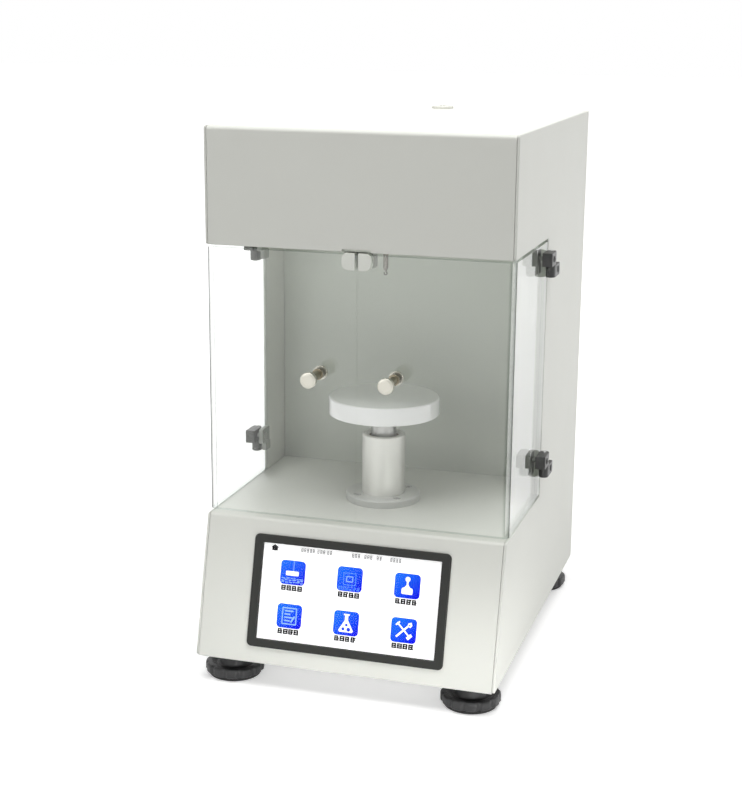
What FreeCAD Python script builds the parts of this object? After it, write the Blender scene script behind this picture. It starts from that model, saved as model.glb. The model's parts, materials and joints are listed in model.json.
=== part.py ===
import FreeCAD, Part
import os
import re
import Sketcher

# Surface tensiometer: a C-shaped sheet-metal cabinet with a draught chamber,
# two hinged clear doors, a motor-lifted sample platform and a suspension hook.
# Millimetres. Origin: floor level, centre of width and depth. +Z up, front towards -Y.

doc = FreeCAD.newDocument("SurfaceTensiometer")
sheet = doc.addObject("Spreadsheet::Sheet", "Sizes")

SIZES = [
    # cabinet
    ("housing_width", 256, "over both side panels"),
    ("housing_depth", 311, "head front face to back edge"),
    ("front_flare", 34.5, "how far the toe of the base stands in front of the head"),
    ("deck_nose", 3.5, "how far the front edge of the deck stands in front of the head"),
    ("foot_height", 22, "floor to the underside of the cabinet"),
    ("base_height", 116, "underside of the cabinet to the deck"),
    ("chamber_height", 226, "deck to the underside of the head"),
    ("head_height", 95, "underside of the head to the top"),
    ("opening_depth", 130, "head front face to the side panels' front edges"),
    ("wall_recess", 48, "side panels' front edges to the chamber wall"),
    ("panel_sheet", 2, "sheet metal thickness"),
    ("panel_seam", 0.3, "gap between neighbouring sheets"),
    ("panel_round", 0.8, "rounding of the panel edges"),
    ("panel_corner", 2, "corner radius of the panel outline"),
    ("cover_bend", 3.5, "outer bend radius of the bent covers"),
    ("rear_inset", 4, "rear panel set in from the back edge"),
    # display
    ("bezel_width", 168, "display frame, outside"),
    ("bezel_height", 93.6, "display frame, outside, up the slope"),
    ("bezel_offset", 0.4, "display centre to the right of the middle"),
    ("bezel_start", 13.6, "toe of the slope to the frame"),
    ("bezel_side", 7.6, "frame width at the sides"),
    ("bezel_rail", 6.8, "frame width at top and bottom"),
    ("bezel_proud", 1.8, "frame in front of the sheet"),
    ("bezel_collar", 2.4, "wall of the collar in the window"),
    ("bezel_corner", 4, "frame corner radius"),
    ("glass_sheet", 1.6, "display glass thickness"),
    ("glass_recess", 0.8, "display glass below the frame face"),
    ("display_fit", 0.2, "clearance round the display glass and collar"),
    ("module_rim", 5, "display module beyond the frame opening"),
    ("module_depth", 11, "display module thickness"),
    # sample lift
    ("stage_inset", 82, "head front face to the lift axis"),
    ("platform_radius", 47.5, "sample platform"),
    ("platform_thick", 15.5, "sample platform"),
    ("platform_level", 91.5, "deck to the platform face at rest"),
    ("platform_round", 1.2, "platform edge rounding"),
    ("spigot_depth", 5, "shaft socket in the platform"),
    ("shaft_radius", 10.75, "moving shaft, outside"),
    ("shaft_bore", 7.5, "moving shaft, inside radius"),
    ("shaft_cap", 3, "closed top of the moving shaft"),
    ("sleeve_radius", 18.4, "fixed sleeve, outside"),
    ("sleeve_bore", 13, "fixed sleeve, inside radius"),
    ("sleeve_height", 58.5, "deck to the top of the sleeve"),
    ("sleeve_tail", 8, "sleeve below the deck"),
    ("sleeve_round", 0.8, "sleeve top edge rounding"),
    ("bushing_length", 14, "plain bearing in the sleeve"),
    ("running_fit", 0.05, "radial clearance of shafts and pins"),
    ("loose_fit", 0.2, "radial clearance of pieces put through holes"),
    ("flange_radius", 32, "ring round the sleeve"),
    ("flange_thick", 6.5, "ring round the sleeve"),
    ("flange_edge", 1, "ring's top edge chamfer"),
    ("flange_screw_circle", 25, "radius of the ring's screw circle"),
    ("carriage_width", 64, "carriage across the guide rods"),
    ("carriage_depth", 28, "carriage front to back"),
    ("carriage_thick", 8, "carriage"),
    ("carriage_level", 54, "cabinet floor plate to the carriage"),
    ("rod_spread", 24, "guide rod from the lift axis"),
    ("rod_radius", 3, "guide rod"),
    ("screw_radius", 4, "lead screw"),
    ("screw_clearance", 6, "lead screw end below the deck sheet"),
    ("nut_radius", 7, "lead nut"),
    ("nut_length", 13, "lead nut above its collar"),
    ("nut_collar", 2, "collar of the lead nut under the carriage"),
    ("nut_collar_radius", 10, "collar of the lead nut under the carriage"),
    ("motor_side", 42, "motor body width"),
    ("motor_length", 33, "motor body"),
    ("motor_corner", 3, "corner chamfer of the motor body"),
    ("motor_socket", 8, "screw end inside the motor"),
    ("motor_boss_radius", 11, "motor pilot boss"),
    ("bracket_side", 72, "motor bracket width"),
    ("bracket_plate", 4, "motor bracket plate"),
    # balance
    ("cell_width", 70, "force cell"),
    ("cell_depth", 48, "force cell"),
    ("cell_height", 40, "force cell"),
    ("cell_stand", 6, "rails under the force cell"),
    ("rod_hole_radius", 6, "hole in the head floor"),
    ("hanger_radius", 2.2, "hanger rod"),
    ("hanger_drop", 24.5, "underside of the head to the end of the hanger rod's straight part"),
    ("hanger_taper", 3.5, "tapered end of the hanger rod"),
    ("hanger_tip", 0.9, "hanger rod radius at its tip"),
    ("hook_ring", 1.25, "hook ring, centre line radius"),
    ("hook_wire", 0.5, "hook wire radius"),
    # doors
    ("pane_sheet", 4, "clear door thickness"),
    ("pane_inset", 0.2, "door face inside the side panel face"),
    ("pane_setback", 1, "door face behind the head front"),
    ("pane_gap", 2, "gap above, below and behind the doors"),
    ("pane_bend", 5, "outer bend radius of a door"),
    ("door_seam", 0.5, "gap between the doors"),
    ("knob_spread", 32, "knob from the middle"),
    ("knob_level", 125.5, "deck to the knobs"),
    ("knob_radius", 6.5, "knob head"),
    ("knob_head", 5, "knob head length"),
    ("knob_taper", 5, "taper from the knob head to its neck"),
    ("knob_neck_radius", 3.2, "knob neck"),
    ("knob_neck", 14, "knob neck length"),
    ("knob_foot_radius", 4.6, "knob foot flange"),
    ("knob_foot", 2, "knob foot flange"),
    ("knob_screw_radius", 1.9, "knob screw through the door"),
    ("knob_nut_radius", 6, "nut inside the door"),
    ("knob_nut", 3.5, "nut inside the door"),
    ("knob_nut_edge", 1.2, "nut's outer edge chamfer"),
    ("knob_edge", 0.7, "knob head edge chamfer"),
    # door catch
    ("strike_width", 11, "strike clip"),
    ("strike_height", 13.8, "strike clip"),
    ("strike_sheet", 1.2, "strike clip wall"),
    ("strike_round", 6.5, "strike clip lower corner"),
    ("strike_margin", 1.05, "strike clip from the door edge"),
    ("strike_drop", 0.8, "underside of the head to the strike clip"),
    ("catch_width", 24, "catch body"),
    ("catch_depth", 12, "catch body"),
    ("catch_height", 13, "catch body"),
    ("catch_gap", 0.4, "catch face to the strike clip"),
    ("magnet_radius", 4, "catch magnet"),
    ("magnet_length", 5, "catch magnet"),
    ("magnet_spread", 6.4, "catch magnet from the middle"),
    # door hinges
    ("hinge_top_drop", 20.6, "underside of the head to the split of the upper hinge"),
    ("hinge_low_rise", 31, "deck to the split of the lower hinge"),
    ("hinge_leaf_height", 10.5, "fixed half of a hinge"),
    ("hinge_clamp_height", 11.5, "moving half of a hinge"),
    ("hinge_radius", 4.2, "round end of both halves about the pin"),
    ("hinge_out", 4.3, "pin axis outside the side panel face"),
    ("hinge_back", 8, "pin axis in front of the chamber wall"),
    ("hinge_pin_radius", 1.6, "pin radius"),
    ("hinge_pin_head", 0.5, "pin beyond the two halves"),
    ("hinge_gap", 0.3, "gap between the halves and to the panels"),
    ("hinge_edge", 0.6, "rounding of the outer edges of a hinge"),
    ("clamp_reach", 17, "moving half in front of the pin axis"),
    ("leaf_reach", 18, "fixed half behind the pin axis"),
    ("jaw_thick", 4, "plate inside the door"),
    ("jaw_rise", 2, "plate inside the door above the moving half"),
    ("jaw_round", 2.5, "upper front corner of the plate inside the door"),
    ("jaw_tab_front", 9, "tab of the plate in front of the pin axis"),
    ("jaw_tab_back", 2, "tab of the plate behind the pin axis"),
    ("jaw_tab_drop", 8, "tab of the plate below the moving half"),
    ("jaw_stud_radius", 1.9, "stud through the door"),
    # feet
    ("foot_spread", 103, "foot from the middle"),
    ("foot_front_inset", 25.5, "toe of the base to the front foot axis"),
    ("foot_back_inset", 30, "back edge to the rear foot axis"),
    ("foot_wheel_radius", 24.8, "foot wheel over the lobes"),
    ("foot_wheel_thick", 7.8, "foot wheel"),
    ("foot_lobes", 12, "grip hollows in the foot wheel"),
    ("foot_lobe_radius", 5, "grip hollow"),
    ("foot_lobe_depth", 1.1, "grip hollow depth"),
    ("foot_edge", 1.6, "foot wheel edge chamfer"),
    ("foot_hub_radius", 13, "foot hub at the wheel"),
    ("foot_hub_top", 9, "foot hub at its top"),
    ("foot_hub_gap", 0.3, "foot hub to the cabinet when the foot is screwed in"),
    ("foot_stud_radius", 4, "foot stud"),
    ("foot_stud_length", 24, "foot stud above the hub"),
    ("foot_pad_radius", 22, "foot pad"),
    ("foot_pad_thick", 3, "foot pad"),
    ("foot_pivot_radius", 5, "pad spigot in the wheel"),
    ("foot_pivot_height", 4, "pad spigot in the wheel"),
    ("foot_boss_radius", 9, "stud boss on the floor plate"),
    ("foot_boss_height", 10, "stud boss on the floor plate"),
    # bubble level
    ("level_left", 7, "level to the left of the middle"),
    ("level_inset", 21, "back edge to the level"),
    ("level_radius", 10, "level rim"),
    ("level_height", 2.6, "level rim above the top"),
    ("level_window", 7.5, "level window radius"),
    ("level_tail", 6, "level below the top sheet"),
    ("level_floor", 2, "bottom of the level housing"),
    ("level_lip", 1, "lip round the level window"),
    ("level_edge", 0.6, "level rim chamfer"),
    ("level_dome", 0.5, "rise of the window's middle"),
    # rear fittings and electronics
    ("vent_count", 9, "slots in a column of the vent"),
    ("vent_width", 62, "slot length"),
    ("vent_slot", 3, "slot height"),
    ("vent_pitch", 8, "slot spacing"),
    ("vent_spread", 46, "slot column from the middle"),
    ("vent_level", 250, "floor plate to the lowest slot"),
    ("inlet_side", 72, "power inlet to the right of the middle"),
    ("inlet_level", 38, "floor plate to the fittings' middle"),
    ("inlet_width", 30, "inlet body"),
    ("inlet_height", 24, "inlet body"),
    ("inlet_depth", 22, "inlet body behind the panel"),
    ("inlet_rim", 4, "inlet flange beyond the body"),
    ("inlet_flange", 2, "inlet flange"),
    ("inlet_wall", 2.5, "inlet wall"),
    ("inlet_pin_length", 14, "inlet pin"),
    ("inlet_pin_width", 2, "inlet pin"),
    ("inlet_pin_height", 4, "inlet pin"),
    ("switch_side", 24, "switch to the right of the middle"),
    ("switch_width", 21, "switch frame body"),
    ("switch_height", 26, "switch frame body"),
    ("switch_wall", 2, "switch frame wall"),
    ("rocker_fit", 0.5, "rocker inside its frame"),
    ("rocker_depth", 9, "rocker"),
    ("rocker_proud", 1.2, "rocker beyond the flange"),
    ("rocker_dip", 0.6, "middle of the rocker face below the flange"),
    ("rocker_edge", 2, "outer ends of the rocker behind the flange"),
    ("rocker_tail", 6, "height of the rocker's back"),
    ("rocker_pin_radius", 1.2, "rocker pivot pin"),
    ("rocker_pin_reach", 1.5, "rocker pivot pin into the frame wall"),
    ("socket_side", 34, "data socket to the left of the middle"),
    ("socket_width", 34, "data socket"),
    ("socket_height", 14, "data socket"),
    ("socket_depth", 14, "data socket"),
    ("screw_head_radius", 3, "rear panel screw head"),
    ("screw_head_height", 1.6, "rear panel screw head"),
    ("screw_shank_radius", 1.5, "rear panel screw shank"),
    ("screw_shank", 6, "rear panel screw shank"),
    ("screw_margin", 7, "screw from the panel edge"),
    ("supply_width", 78, "power supply"),
    ("supply_depth", 110, "power supply"),
    ("supply_height", 38, "power supply"),
    ("supply_left", 88, "power supply to the left of the middle, outer face"),
    ("supply_back", 30, "power supply in front of the rear panel"),
    ("board_width", 96, "control board"),
    ("board_height", 120, "control board"),
    ("board_thick", 1.6, "control board"),
    ("board_stand", 8, "control board standoff"),
    ("board_rise", 150, "floor plate to the control board"),
    ("board_post_radius", 3, "control board standoff"),
    ("board_post_inset", 6, "control board edge to a standoff"),
    ("chip_side", 28, "large chip"),
    ("chip_height", 14, "large chip"),
    ("chip_thick", 5, "large chip"),
]

for row, (alias, value, meaning) in enumerate(SIZES, 1):
    sheet.set("A%d" % row, alias)
    sheet.set("B%d" % row, str(value))
    sheet.setAlias("B%d" % row, alias)
    sheet.set("C%d" % row, meaning)
doc.recompute()

ALIASES = {alias for alias, value, meaning in SIZES}

# Places and lengths that follow from the sizes.
PLACES = {
    "half_width": "housing_width / 2",
    "face_y": "-(housing_depth - front_flare) / 2",
    "toe_y": "face_y - front_flare",
    "nose_y": "face_y - deck_nose",
    "back_y": "face_y + housing_depth",
    "jamb_y": "face_y + opening_depth",
    "wall_y": "jamb_y + wall_recess",
    "axis_y": "face_y + stage_inset",
    "skirt_z": "foot_height",
    "floor_z": "skirt_z + panel_sheet",
    "deck_z": "skirt_z + base_height",
    "head_z": "deck_z + chamber_height",
    "top_z": "head_z + head_height",
    "inner_x": "half_width - panel_sheet - panel_seam",
    "slope_run": "front_flare - deck_nose",
    "slope_wall": "panel_sheet * sqrt(slope_run * slope_run + base_height * base_height) / base_height",
    "slope_lead": "slope_run * panel_sheet / base_height",
    # lift
    "platform_z": "deck_z + platform_level",
    "platform_low": "platform_z - platform_thick",
    "carriage_z": "floor_z + carriage_level",
    "nut_z": "carriage_z - nut_collar",
    "shaft_low": "carriage_z + carriage_thick",
    "sleeve_top": "deck_z + sleeve_height",
    "sleeve_low": "deck_z - sleeve_tail",
    "deck_under": "deck_z - panel_sheet",
    "bracket_z": "floor_z + motor_length",
    "bracket_top": "bracket_z + bracket_plate",
    # doors
    "pane_x": "half_width - pane_inset",
    "pane_y": "face_y + pane_setback",
    "pane_rear": "jamb_y - pane_gap",
    "pane_low": "deck_z + pane_gap",
    "pane_high": "head_z - pane_gap",
    "pane_inner_x": "pane_x - pane_sheet",
    "pane_inner_y": "pane_y + pane_sheet",
    "knob_z": "deck_z + knob_level",
    "strike_x": "door_seam / 2 + strike_margin",
    "strike_z": "head_z - strike_drop - strike_height",
    "catch_y": "pane_inner_y + strike_sheet + catch_gap",
    "pin_x": "half_width + hinge_out",
    "pin_y": "jamb_y - hinge_back",
    # feet
    "wheel_low": "foot_pad_thick + loose_fit",
    "hub_high": "skirt_z - foot_hub_gap",
    "front_foot_y": "toe_y + foot_front_inset",
    "back_foot_y": "back_y - foot_back_inset",
    # rear
    "rear_y": "back_y - rear_inset",
    "rear_inside": "rear_y - panel_sheet",
    "fitting_z": "floor_z + inlet_level",
    "flange_y": "rear_y + inlet_flange",
}

WORD = re.compile(r"[a-z][a-z_0-9]*")


def bind(text):
    """Expression text with every named size pointing at the sheet."""
    def swap(match):
        word = match.group(0)
        if word in PLACES:
            return "(" + bind(PLACES[word]) + ")"
        if word in ALIASES:
            return "Sizes." + word
        return word
    return WORD.sub(swap, str(text))


def value_of(text):
    """Number that an expression has now."""
    return float(sheet.evalExpression(bind(text)))


def place(item, x="0", y="0", z="0", axis=None, angle=0):
    """Puts an object at a bound point, turned by a fixed angle about an axis."""
    if axis is not None:
        item.Placement = FreeCAD.Placement(FreeCAD.Vector(), FreeCAD.Rotation(FreeCAD.Vector(*axis), angle))
    item.setExpression("Placement.Base.x", bind(x))
    item.setExpression("Placement.Base.y", bind(y))
    item.setExpression("Placement.Base.z", bind(z))
    return item


def block(label, x, y, z):
    """Box between bound pairs (low, high) along each axis."""
    item = doc.addObject("Part::Box", label)
    for name, span in (("Length", x), ("Width", y), ("Height", z)):
        item.setExpression(name, bind("(%s) - (%s)" % (span[1], span[0])))
    return place(item, x[0], y[0], z[0])


TURNS = {"x": ((0, 1, 0), 90), "y": ((1, 0, 0), -90), "z": (None, 0)}


def rod(label, radius, length, x="0", y="0", z="0", along="z"):
    """Cylinder from a bound point, along an axis."""
    item = doc.addObject("Part::Cylinder", label)
    item.setExpression("Radius", bind(radius))
    item.setExpression("Height", bind(length))
    axis, angle = TURNS[along]
    return place(item, x, y, z, axis, angle)


def joined(label, items):
    item = doc.addObject("Part::MultiFuse", label)
    item.Shapes = items
    item.Refine = True
    return item


def less(label, base, tools):
    """The base with every tool cut away."""
    item = doc.addObject("Part::Cut", label)
    item.Base = base
    item.Tool = tools[0] if len(tools) == 1 else grouped(label + "_tools", tools)
    item.Refine = True
    return item


def grouped(label, items):
    """Separate solids in one object."""
    item = doc.addObject("Part::Compound", label)
    item.Links = items
    return item


def mirrored_span(side, low, high):
    """Bound pair along X on the right (side 1) or mirrored on the left (side -1)."""
    if side > 0:
        return (low, high)
    return ("-(%s)" % high, "-(%s)" % low)


def signed(side, text):
    return "(%s)" % text if side > 0 else "-(%s)" % text


def origin_plane(body, role):
    return [item for item in body.Origin.OriginFeatures if item.Role == role][0]


def outline(body, role, points, offset="0"):
    """Closed sketch on an origin plane of the body, each corner bound to the sheet."""
    sketch = body.newObject("Sketcher::SketchObject", body.Label + "_outline")
    sketch.AttachmentSupport = [(origin_plane(body, role), "")]
    sketch.MapMode = "FlatFace"
    sketch.setExpression("AttachmentOffset.Base.z", bind(offset))
    corners = [FreeCAD.Vector(value_of(u), value_of(v), 0) for u, v in points]
    count = len(corners)
    for index in range(count):
        sketch.addGeometry(Part.LineSegment(corners[index], corners[(index + 1) % count]), False)
    for index in range(count):
        sketch.addConstraint(Sketcher.Constraint("Coincident", index, 2, (index + 1) % count, 1))
    for index, (u, v) in enumerate(points):
        for kind, text in (("DistanceX", u), ("DistanceY", v)):
            number = sketch.addConstraint(
                Sketcher.Constraint(kind, -1, 1, index, 1, value_of(text)))
            sketch.setExpression("Constraints[%d]" % number, bind(text))
    return sketch


def slab(label, role, points, length, offset="0", reverse=False, midplane=False):
    """Body: an outline on an origin plane, padded by a bound length."""
    body = doc.addObject("PartDesign::Body", label)
    sketch = outline(body, role, points, offset)
    pad = body.newObject("PartDesign::Pad", label + "_pad")
    pad.Profile = sketch
    pad.setExpression("Length", bind(length))
    pad.Reversed = reverse
    pad.Midplane = midplane
    body.Tip = pad
    doc.recompute()
    return body


def turned(label, points, x="0", y="0", z="0", along="z"):
    """Body: a (radius, height) profile turned about its own axis."""
    body = doc.addObject("PartDesign::Body", label)
    sketch = outline(body, "XZ_Plane", points)
    spin = body.newObject("PartDesign::Revolution", label + "_spin")
    spin.Profile = sketch
    spin.ReferenceAxis = (sketch, ["V_Axis"])
    spin.Angle = 360
    body.Tip = spin
    axis, angle = TURNS[along]
    place(body, x, y, z, axis, angle)
    doc.recompute()
    return body


def dressed(body, radius, wanted, kind="PartDesign::Fillet"):
    """Rounds or chamfers the edges whose middle point passes a test."""
    tip = body.Tip
    names = []
    for number, edge in enumerate(tip.Shape.Edges, 1):
        middle = edge.valueAt((edge.FirstParameter + edge.LastParameter) / 2)
        if wanted(edge, middle):
            names.append("Edge%d" % number)
    feature = body.newObject(kind, body.Label + "_edge")
    feature.Base = (tip, names)
    feature.setExpression("Radius" if kind.endswith("Fillet") else "Size", bind(radius))
    body.Tip = feature
    doc.recompute()
    return body


def near(first, second):
    return abs(first - second) < 1e-4


def straight_along(edge, axis):
    """True for a straight edge parallel to a coordinate axis (0, 1 or 2)."""
    if edge.Curve.TypeId != "Part::GeomLine":
        return False
    return abs(abs(edge.Curve.Direction[axis]) - 1) < 1e-6


NODES = []


def node(label, item):
    """Registers an object as a sub-part under its node name."""
    item.Label = label
    NODES.append((label, item))
    return item


# Cabinet sheets ---------------------------------------------------------------

def side_panel(side):
    name = "right_side_panel" if side > 0 else "left_side_panel"
    points = [("toe_y", "skirt_z"), ("back_y", "skirt_z"), ("back_y", "top_z"), ("face_y", "top_z"),
              ("face_y", "head_z"), ("jamb_y", "head_z"), ("jamb_y", "deck_z"), ("nose_y", "deck_z")]
    inner = "half_width - panel_sheet" if side > 0 else "-half_width"
    panel = slab(name + "_body", "YZ_Plane", points, "panel_sheet", inner)
    dressed(panel, "panel_corner", lambda edge, middle: straight_along(edge, 0))
    outer_x = side * value_of("half_width")
    dressed(panel, "panel_round", lambda edge, middle: near(middle.x, outer_x))
    return node(name, panel)


def head_cover():
    """Front and top of the head from one bent sheet, notched over the door catch."""
    points = [("face_y", "head_z"), ("face_y", "top_z"), ("back_y", "top_z"),
              ("back_y", "top_z - panel_sheet"), ("face_y + panel_sheet", "top_z - panel_sheet"),
              ("face_y + panel_sheet", "head_z")]
    cover = slab("head_cover_body", "YZ_Plane", points, "2 * inner_x", midplane=True)
    outer = (value_of("face_y"), value_of("top_z"))
    dressed(cover, "cover_bend",
            lambda edge, middle: straight_along(edge, 0)
            and near(middle.y, outer[0]) and near(middle.z, outer[1]))
    inner = (value_of("face_y + panel_sheet"), value_of("top_z - panel_sheet"))
    dressed(cover, "cover_bend - panel_sheet",
            lambda edge, middle: straight_along(edge, 0)
            and near(middle.y, inner[0]) and near(middle.z, inner[1]))
    notch = block("catch_notch", ("-catch_width / 2", "catch_width / 2"),
                  ("face_y - 1", "face_y + panel_sheet + 1"), ("head_z - 1", "head_z + panel_sheet"))
    hole = rod("level_hole", "level_window + loose_fit", "3 * panel_sheet",
               "-level_left", "back_y - level_inset", "top_z - 2 * panel_sheet")
    return node("head_cover", less("head_cover_cut", cover, [notch, hole]))


def head_floor():
    plate = block("head_floor_plate", ("-inner_x", "inner_x"),
                  ("face_y + panel_sheet + panel_seam", "rear_inside - panel_seam"),
                  ("head_z", "head_z + panel_sheet"))
    hole = rod("hanger_hole", "rod_hole_radius", "3 * panel_sheet", "0", "axis_y", "head_z - panel_sheet")
    return node("head_floor", less("head_floor_cut", plate, [hole]))


def chamber_wall():
    return node("chamber_wall", block("chamber_wall_plate", ("-inner_x", "inner_x"),
                                      ("wall_y", "wall_y + panel_sheet"), ("deck_z", "head_z")))


def base_cover():
    """Sloped front and deck from one bent sheet, with the display window and the lift opening."""
    points = [("toe_y", "skirt_z"), ("nose_y", "deck_z"), ("wall_y + panel_sheet", "deck_z"),
              ("wall_y + panel_sheet", "deck_under"),
              ("nose_y + slope_wall - slope_lead", "deck_under"),
              ("toe_y + slope_wall", "skirt_z")]
    cover = slab("base_cover_body", "YZ_Plane", points, "2 * inner_x", midplane=True)
    outer = (value_of("nose_y"), value_of("deck_z"))
    dressed(cover, "cover_bend",
            lambda edge, middle: straight_along(edge, 0)
            and near(middle.y, outer[0]) and near(middle.z, outer[1]))
    window = on_slope(block("display_window",
                            ("window_low_x", "window_high_x"), ("-panel_sheet", "2 * panel_sheet"),
                            ("window_low_z", "window_high_z")))
    opening = rod("sleeve_hole", "sleeve_radius + loose_fit", "3 * panel_sheet", "0", "axis_y",
                  "deck_z - 2 * panel_sheet")
    return node("base_cover", less("base_cover_cut", cover, [window, opening]))


def base_plate():
    """Floor plate of the cabinet with the bosses that the foot studs screw into."""
    plate = block("base_plate_sheet", ("-inner_x", "inner_x"),
                  ("toe_y + slope_wall + slope_lead + panel_seam", "back_y"), ("skirt_z", "floor_z"))
    bosses = []
    holes = []
    for name, side, y in FEET:
        x = signed(side, "foot_spread")
        bosses.append(rod(name + "_boss", "foot_boss_radius", "foot_boss_height", x, y, "skirt_z"))
        holes.append(rod(name + "_thread", "foot_stud_radius + running_fit", "2 * foot_boss_height",
                         x, y, "skirt_z - panel_sheet"))
    return node("base_plate", less("base_plate_cut", joined("base_plate_solid", [plate] + bosses), holes))


FEET = [("front_left", -1, "front_foot_y"), ("front_right", 1, "front_foot_y"),
        ("back_left", -1, "back_foot_y"), ("back_right", 1, "back_foot_y")]

# Rear fittings: name, centre x, body width, body height.
FITTINGS = [("inlet", "inlet_side", "inlet_width", "inlet_height"),
            ("switch", "switch_side", "switch_width", "switch_height"),
            ("socket", "-socket_side", "socket_width", "socket_height")]


def fitting_span(centre, width, extra="0"):
    reach = "(%s) / 2 + (%s)" % (width, extra)
    return ("(%s) - (%s)" % (centre, reach), "(%s) + (%s)" % (centre, reach))


def rear_panel():
    plate = block("rear_panel_sheet", ("-inner_x", "inner_x"), ("rear_inside", "rear_y"),
                  ("floor_z + panel_seam", "top_z - panel_sheet - panel_seam"))
    cuts = []
    for column in (-1, 1):
        for index in range(int(value_of("vent_count"))):
            z = "floor_z + vent_level + %d * vent_pitch" % index
            cuts.append(block("vent_slot_cut", fitting_span(signed(column, "vent_spread"), "vent_width"),
                              ("rear_inside - panel_sheet", "rear_y + panel_sheet"), (z, z + " + vent_slot")))
    for name, centre, width, height in FITTINGS:
        cuts.append(block(name + "_cutout", fitting_span(centre, width, "loose_fit"),
                          ("rear_inside - panel_sheet", "rear_y + panel_sheet"),
                          fitting_span("fitting_z", height, "loose_fit")))
    for index, (x, z) in enumerate(rear_screw_points()):
        cuts.append(rod("rear_screw_hole", "screw_shank_radius + loose_fit", "3 * panel_sheet",
                        x, "rear_inside - panel_sheet", z, "y"))
    return node("rear_panel", less("rear_panel_cut", plate, cuts))


def rear_screw_points():
    """Two columns of four screws along the sides of the rear panel."""
    low = "floor_z + panel_seam + screw_margin"
    high = "top_z - panel_sheet - panel_seam - screw_margin"
    points = []
    for side in (-1, 1):
        for step in range(4):
            x = signed(side, "inner_x - screw_margin")
            points.append((x, "(%s) + (%d / 3) * ((%s) - (%s))" % (low, step, high, low)))
    return points


def rear_screws():
    screws = []
    for x, z in rear_screw_points():
        head = rod("rear_screw_head", "screw_head_radius", "screw_head_height", x, "rear_y", z, "y")
        shank = rod("rear_screw_shank", "screw_shank_radius", "screw_shank",
                    x, "rear_y - screw_shank", z, "y")
        screws.append(joined("rear_screw", [head, shank]))
    return node("rear_screws", grouped("rear_screws_group", screws))


# Display ------------------------------------------------------------------------

PLACES.update({
    "bezel_low_x": "bezel_offset - bezel_width / 2",
    "bezel_high_x": "bezel_offset + bezel_width / 2",
    "bezel_low_z": "bezel_start",
    "bezel_high_z": "bezel_start + bezel_height",
    "view_low_x": "bezel_low_x + bezel_side",
    "view_high_x": "bezel_high_x - bezel_side",
    "view_low_z": "bezel_low_z + bezel_rail",
    "view_high_z": "bezel_high_z - bezel_rail",
    "window_low_x": "view_low_x - bezel_collar - display_fit",
    "window_high_x": "view_high_x + bezel_collar + display_fit",
    "window_low_z": "view_low_z - bezel_collar - display_fit",
    "window_high_z": "view_high_z + bezel_collar + display_fit",
    "glass_front": "glass_recess - bezel_proud",
    "glass_back": "glass_front + glass_sheet",
})


def on_slope(item):
    """Moves an object from the slope's own axes (X right, Y inward, Z up the slope) to its place.

    The item is wrapped so that its own bound place inside the slope stays as it is.
    """
    group = doc.addObject("Part::Compound", item.Name + "_on_slope")
    group.Links = [item]
    group.Placement = FreeCAD.Placement(FreeCAD.Vector(), FreeCAD.Rotation(FreeCAD.Vector(1, 0, 0), -15))
    group.setExpression("Placement.Rotation.Angle", bind("atan(slope_run / base_height)"))
    group.setExpression("Placement.Rotation.Axis.x", "-1")
    group.setExpression("Placement.Base.y", bind("toe_y"))
    group.setExpression("Placement.Base.z", bind("skirt_z"))
    return group


def round_cornered(label, x, y, z, radius):
    """Block with its four edges along Y rounded."""
    lows = [("(%s) + (%s)" % (x[0], radius), "(%s) - (%s)" % (x[1], radius)), x]
    heights = [z, ("(%s) + (%s)" % (z[0], radius), "(%s) - (%s)" % (z[1], radius))]
    pieces = [block(label + "_tall", lows[0], y, heights[0]), block(label + "_wide", lows[1], y, heights[1])]
    for corner_x in lows[0]:
        for corner_z in heights[1]:
            pieces.append(rod(label + "_corner", radius, "(%s) - (%s)" % (y[1], y[0]),
                              corner_x, y[0], corner_z, "y"))
    return joined(label, pieces)


def display():
    frame = round_cornered("bezel_frame", ("bezel_low_x", "bezel_high_x"), ("-bezel_proud", "0"),
                           ("bezel_low_z", "bezel_high_z"), "bezel_corner")
    collar = block("bezel_collar_block", ("window_low_x + display_fit", "window_high_x - display_fit"),
                   ("0", "panel_sheet"), ("window_low_z + display_fit", "window_high_z - display_fit"))
    view = block("bezel_view", ("view_low_x", "view_high_x"), ("-2 * bezel_proud", "2 * panel_sheet"),
                 ("view_low_z", "view_high_z"))
    bezel = less("bezel_cut", joined("bezel_solid", [frame, collar]), [view])
    node("display_bezel", on_slope(bezel))
    inside_x = ("view_low_x + display_fit", "view_high_x - display_fit")
    inside_z = ("view_low_z + display_fit", "view_high_z - display_fit")
    node("display_glass", on_slope(block("glass_plate", inside_x, ("glass_front", "glass_back"), inside_z)))
    raised = block("module_face", inside_x, ("glass_back", "panel_sheet"), inside_z)
    back = block("module_back", ("view_low_x - module_rim", "view_high_x + module_rim"),
                 ("panel_sheet", "panel_sheet + module_depth"),
                 ("view_low_z - module_rim", "view_high_z + module_rim"))
    node("display_module", on_slope(joined("module_solid", [raised, back])))


# Sample lift --------------------------------------------------------------------

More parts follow.
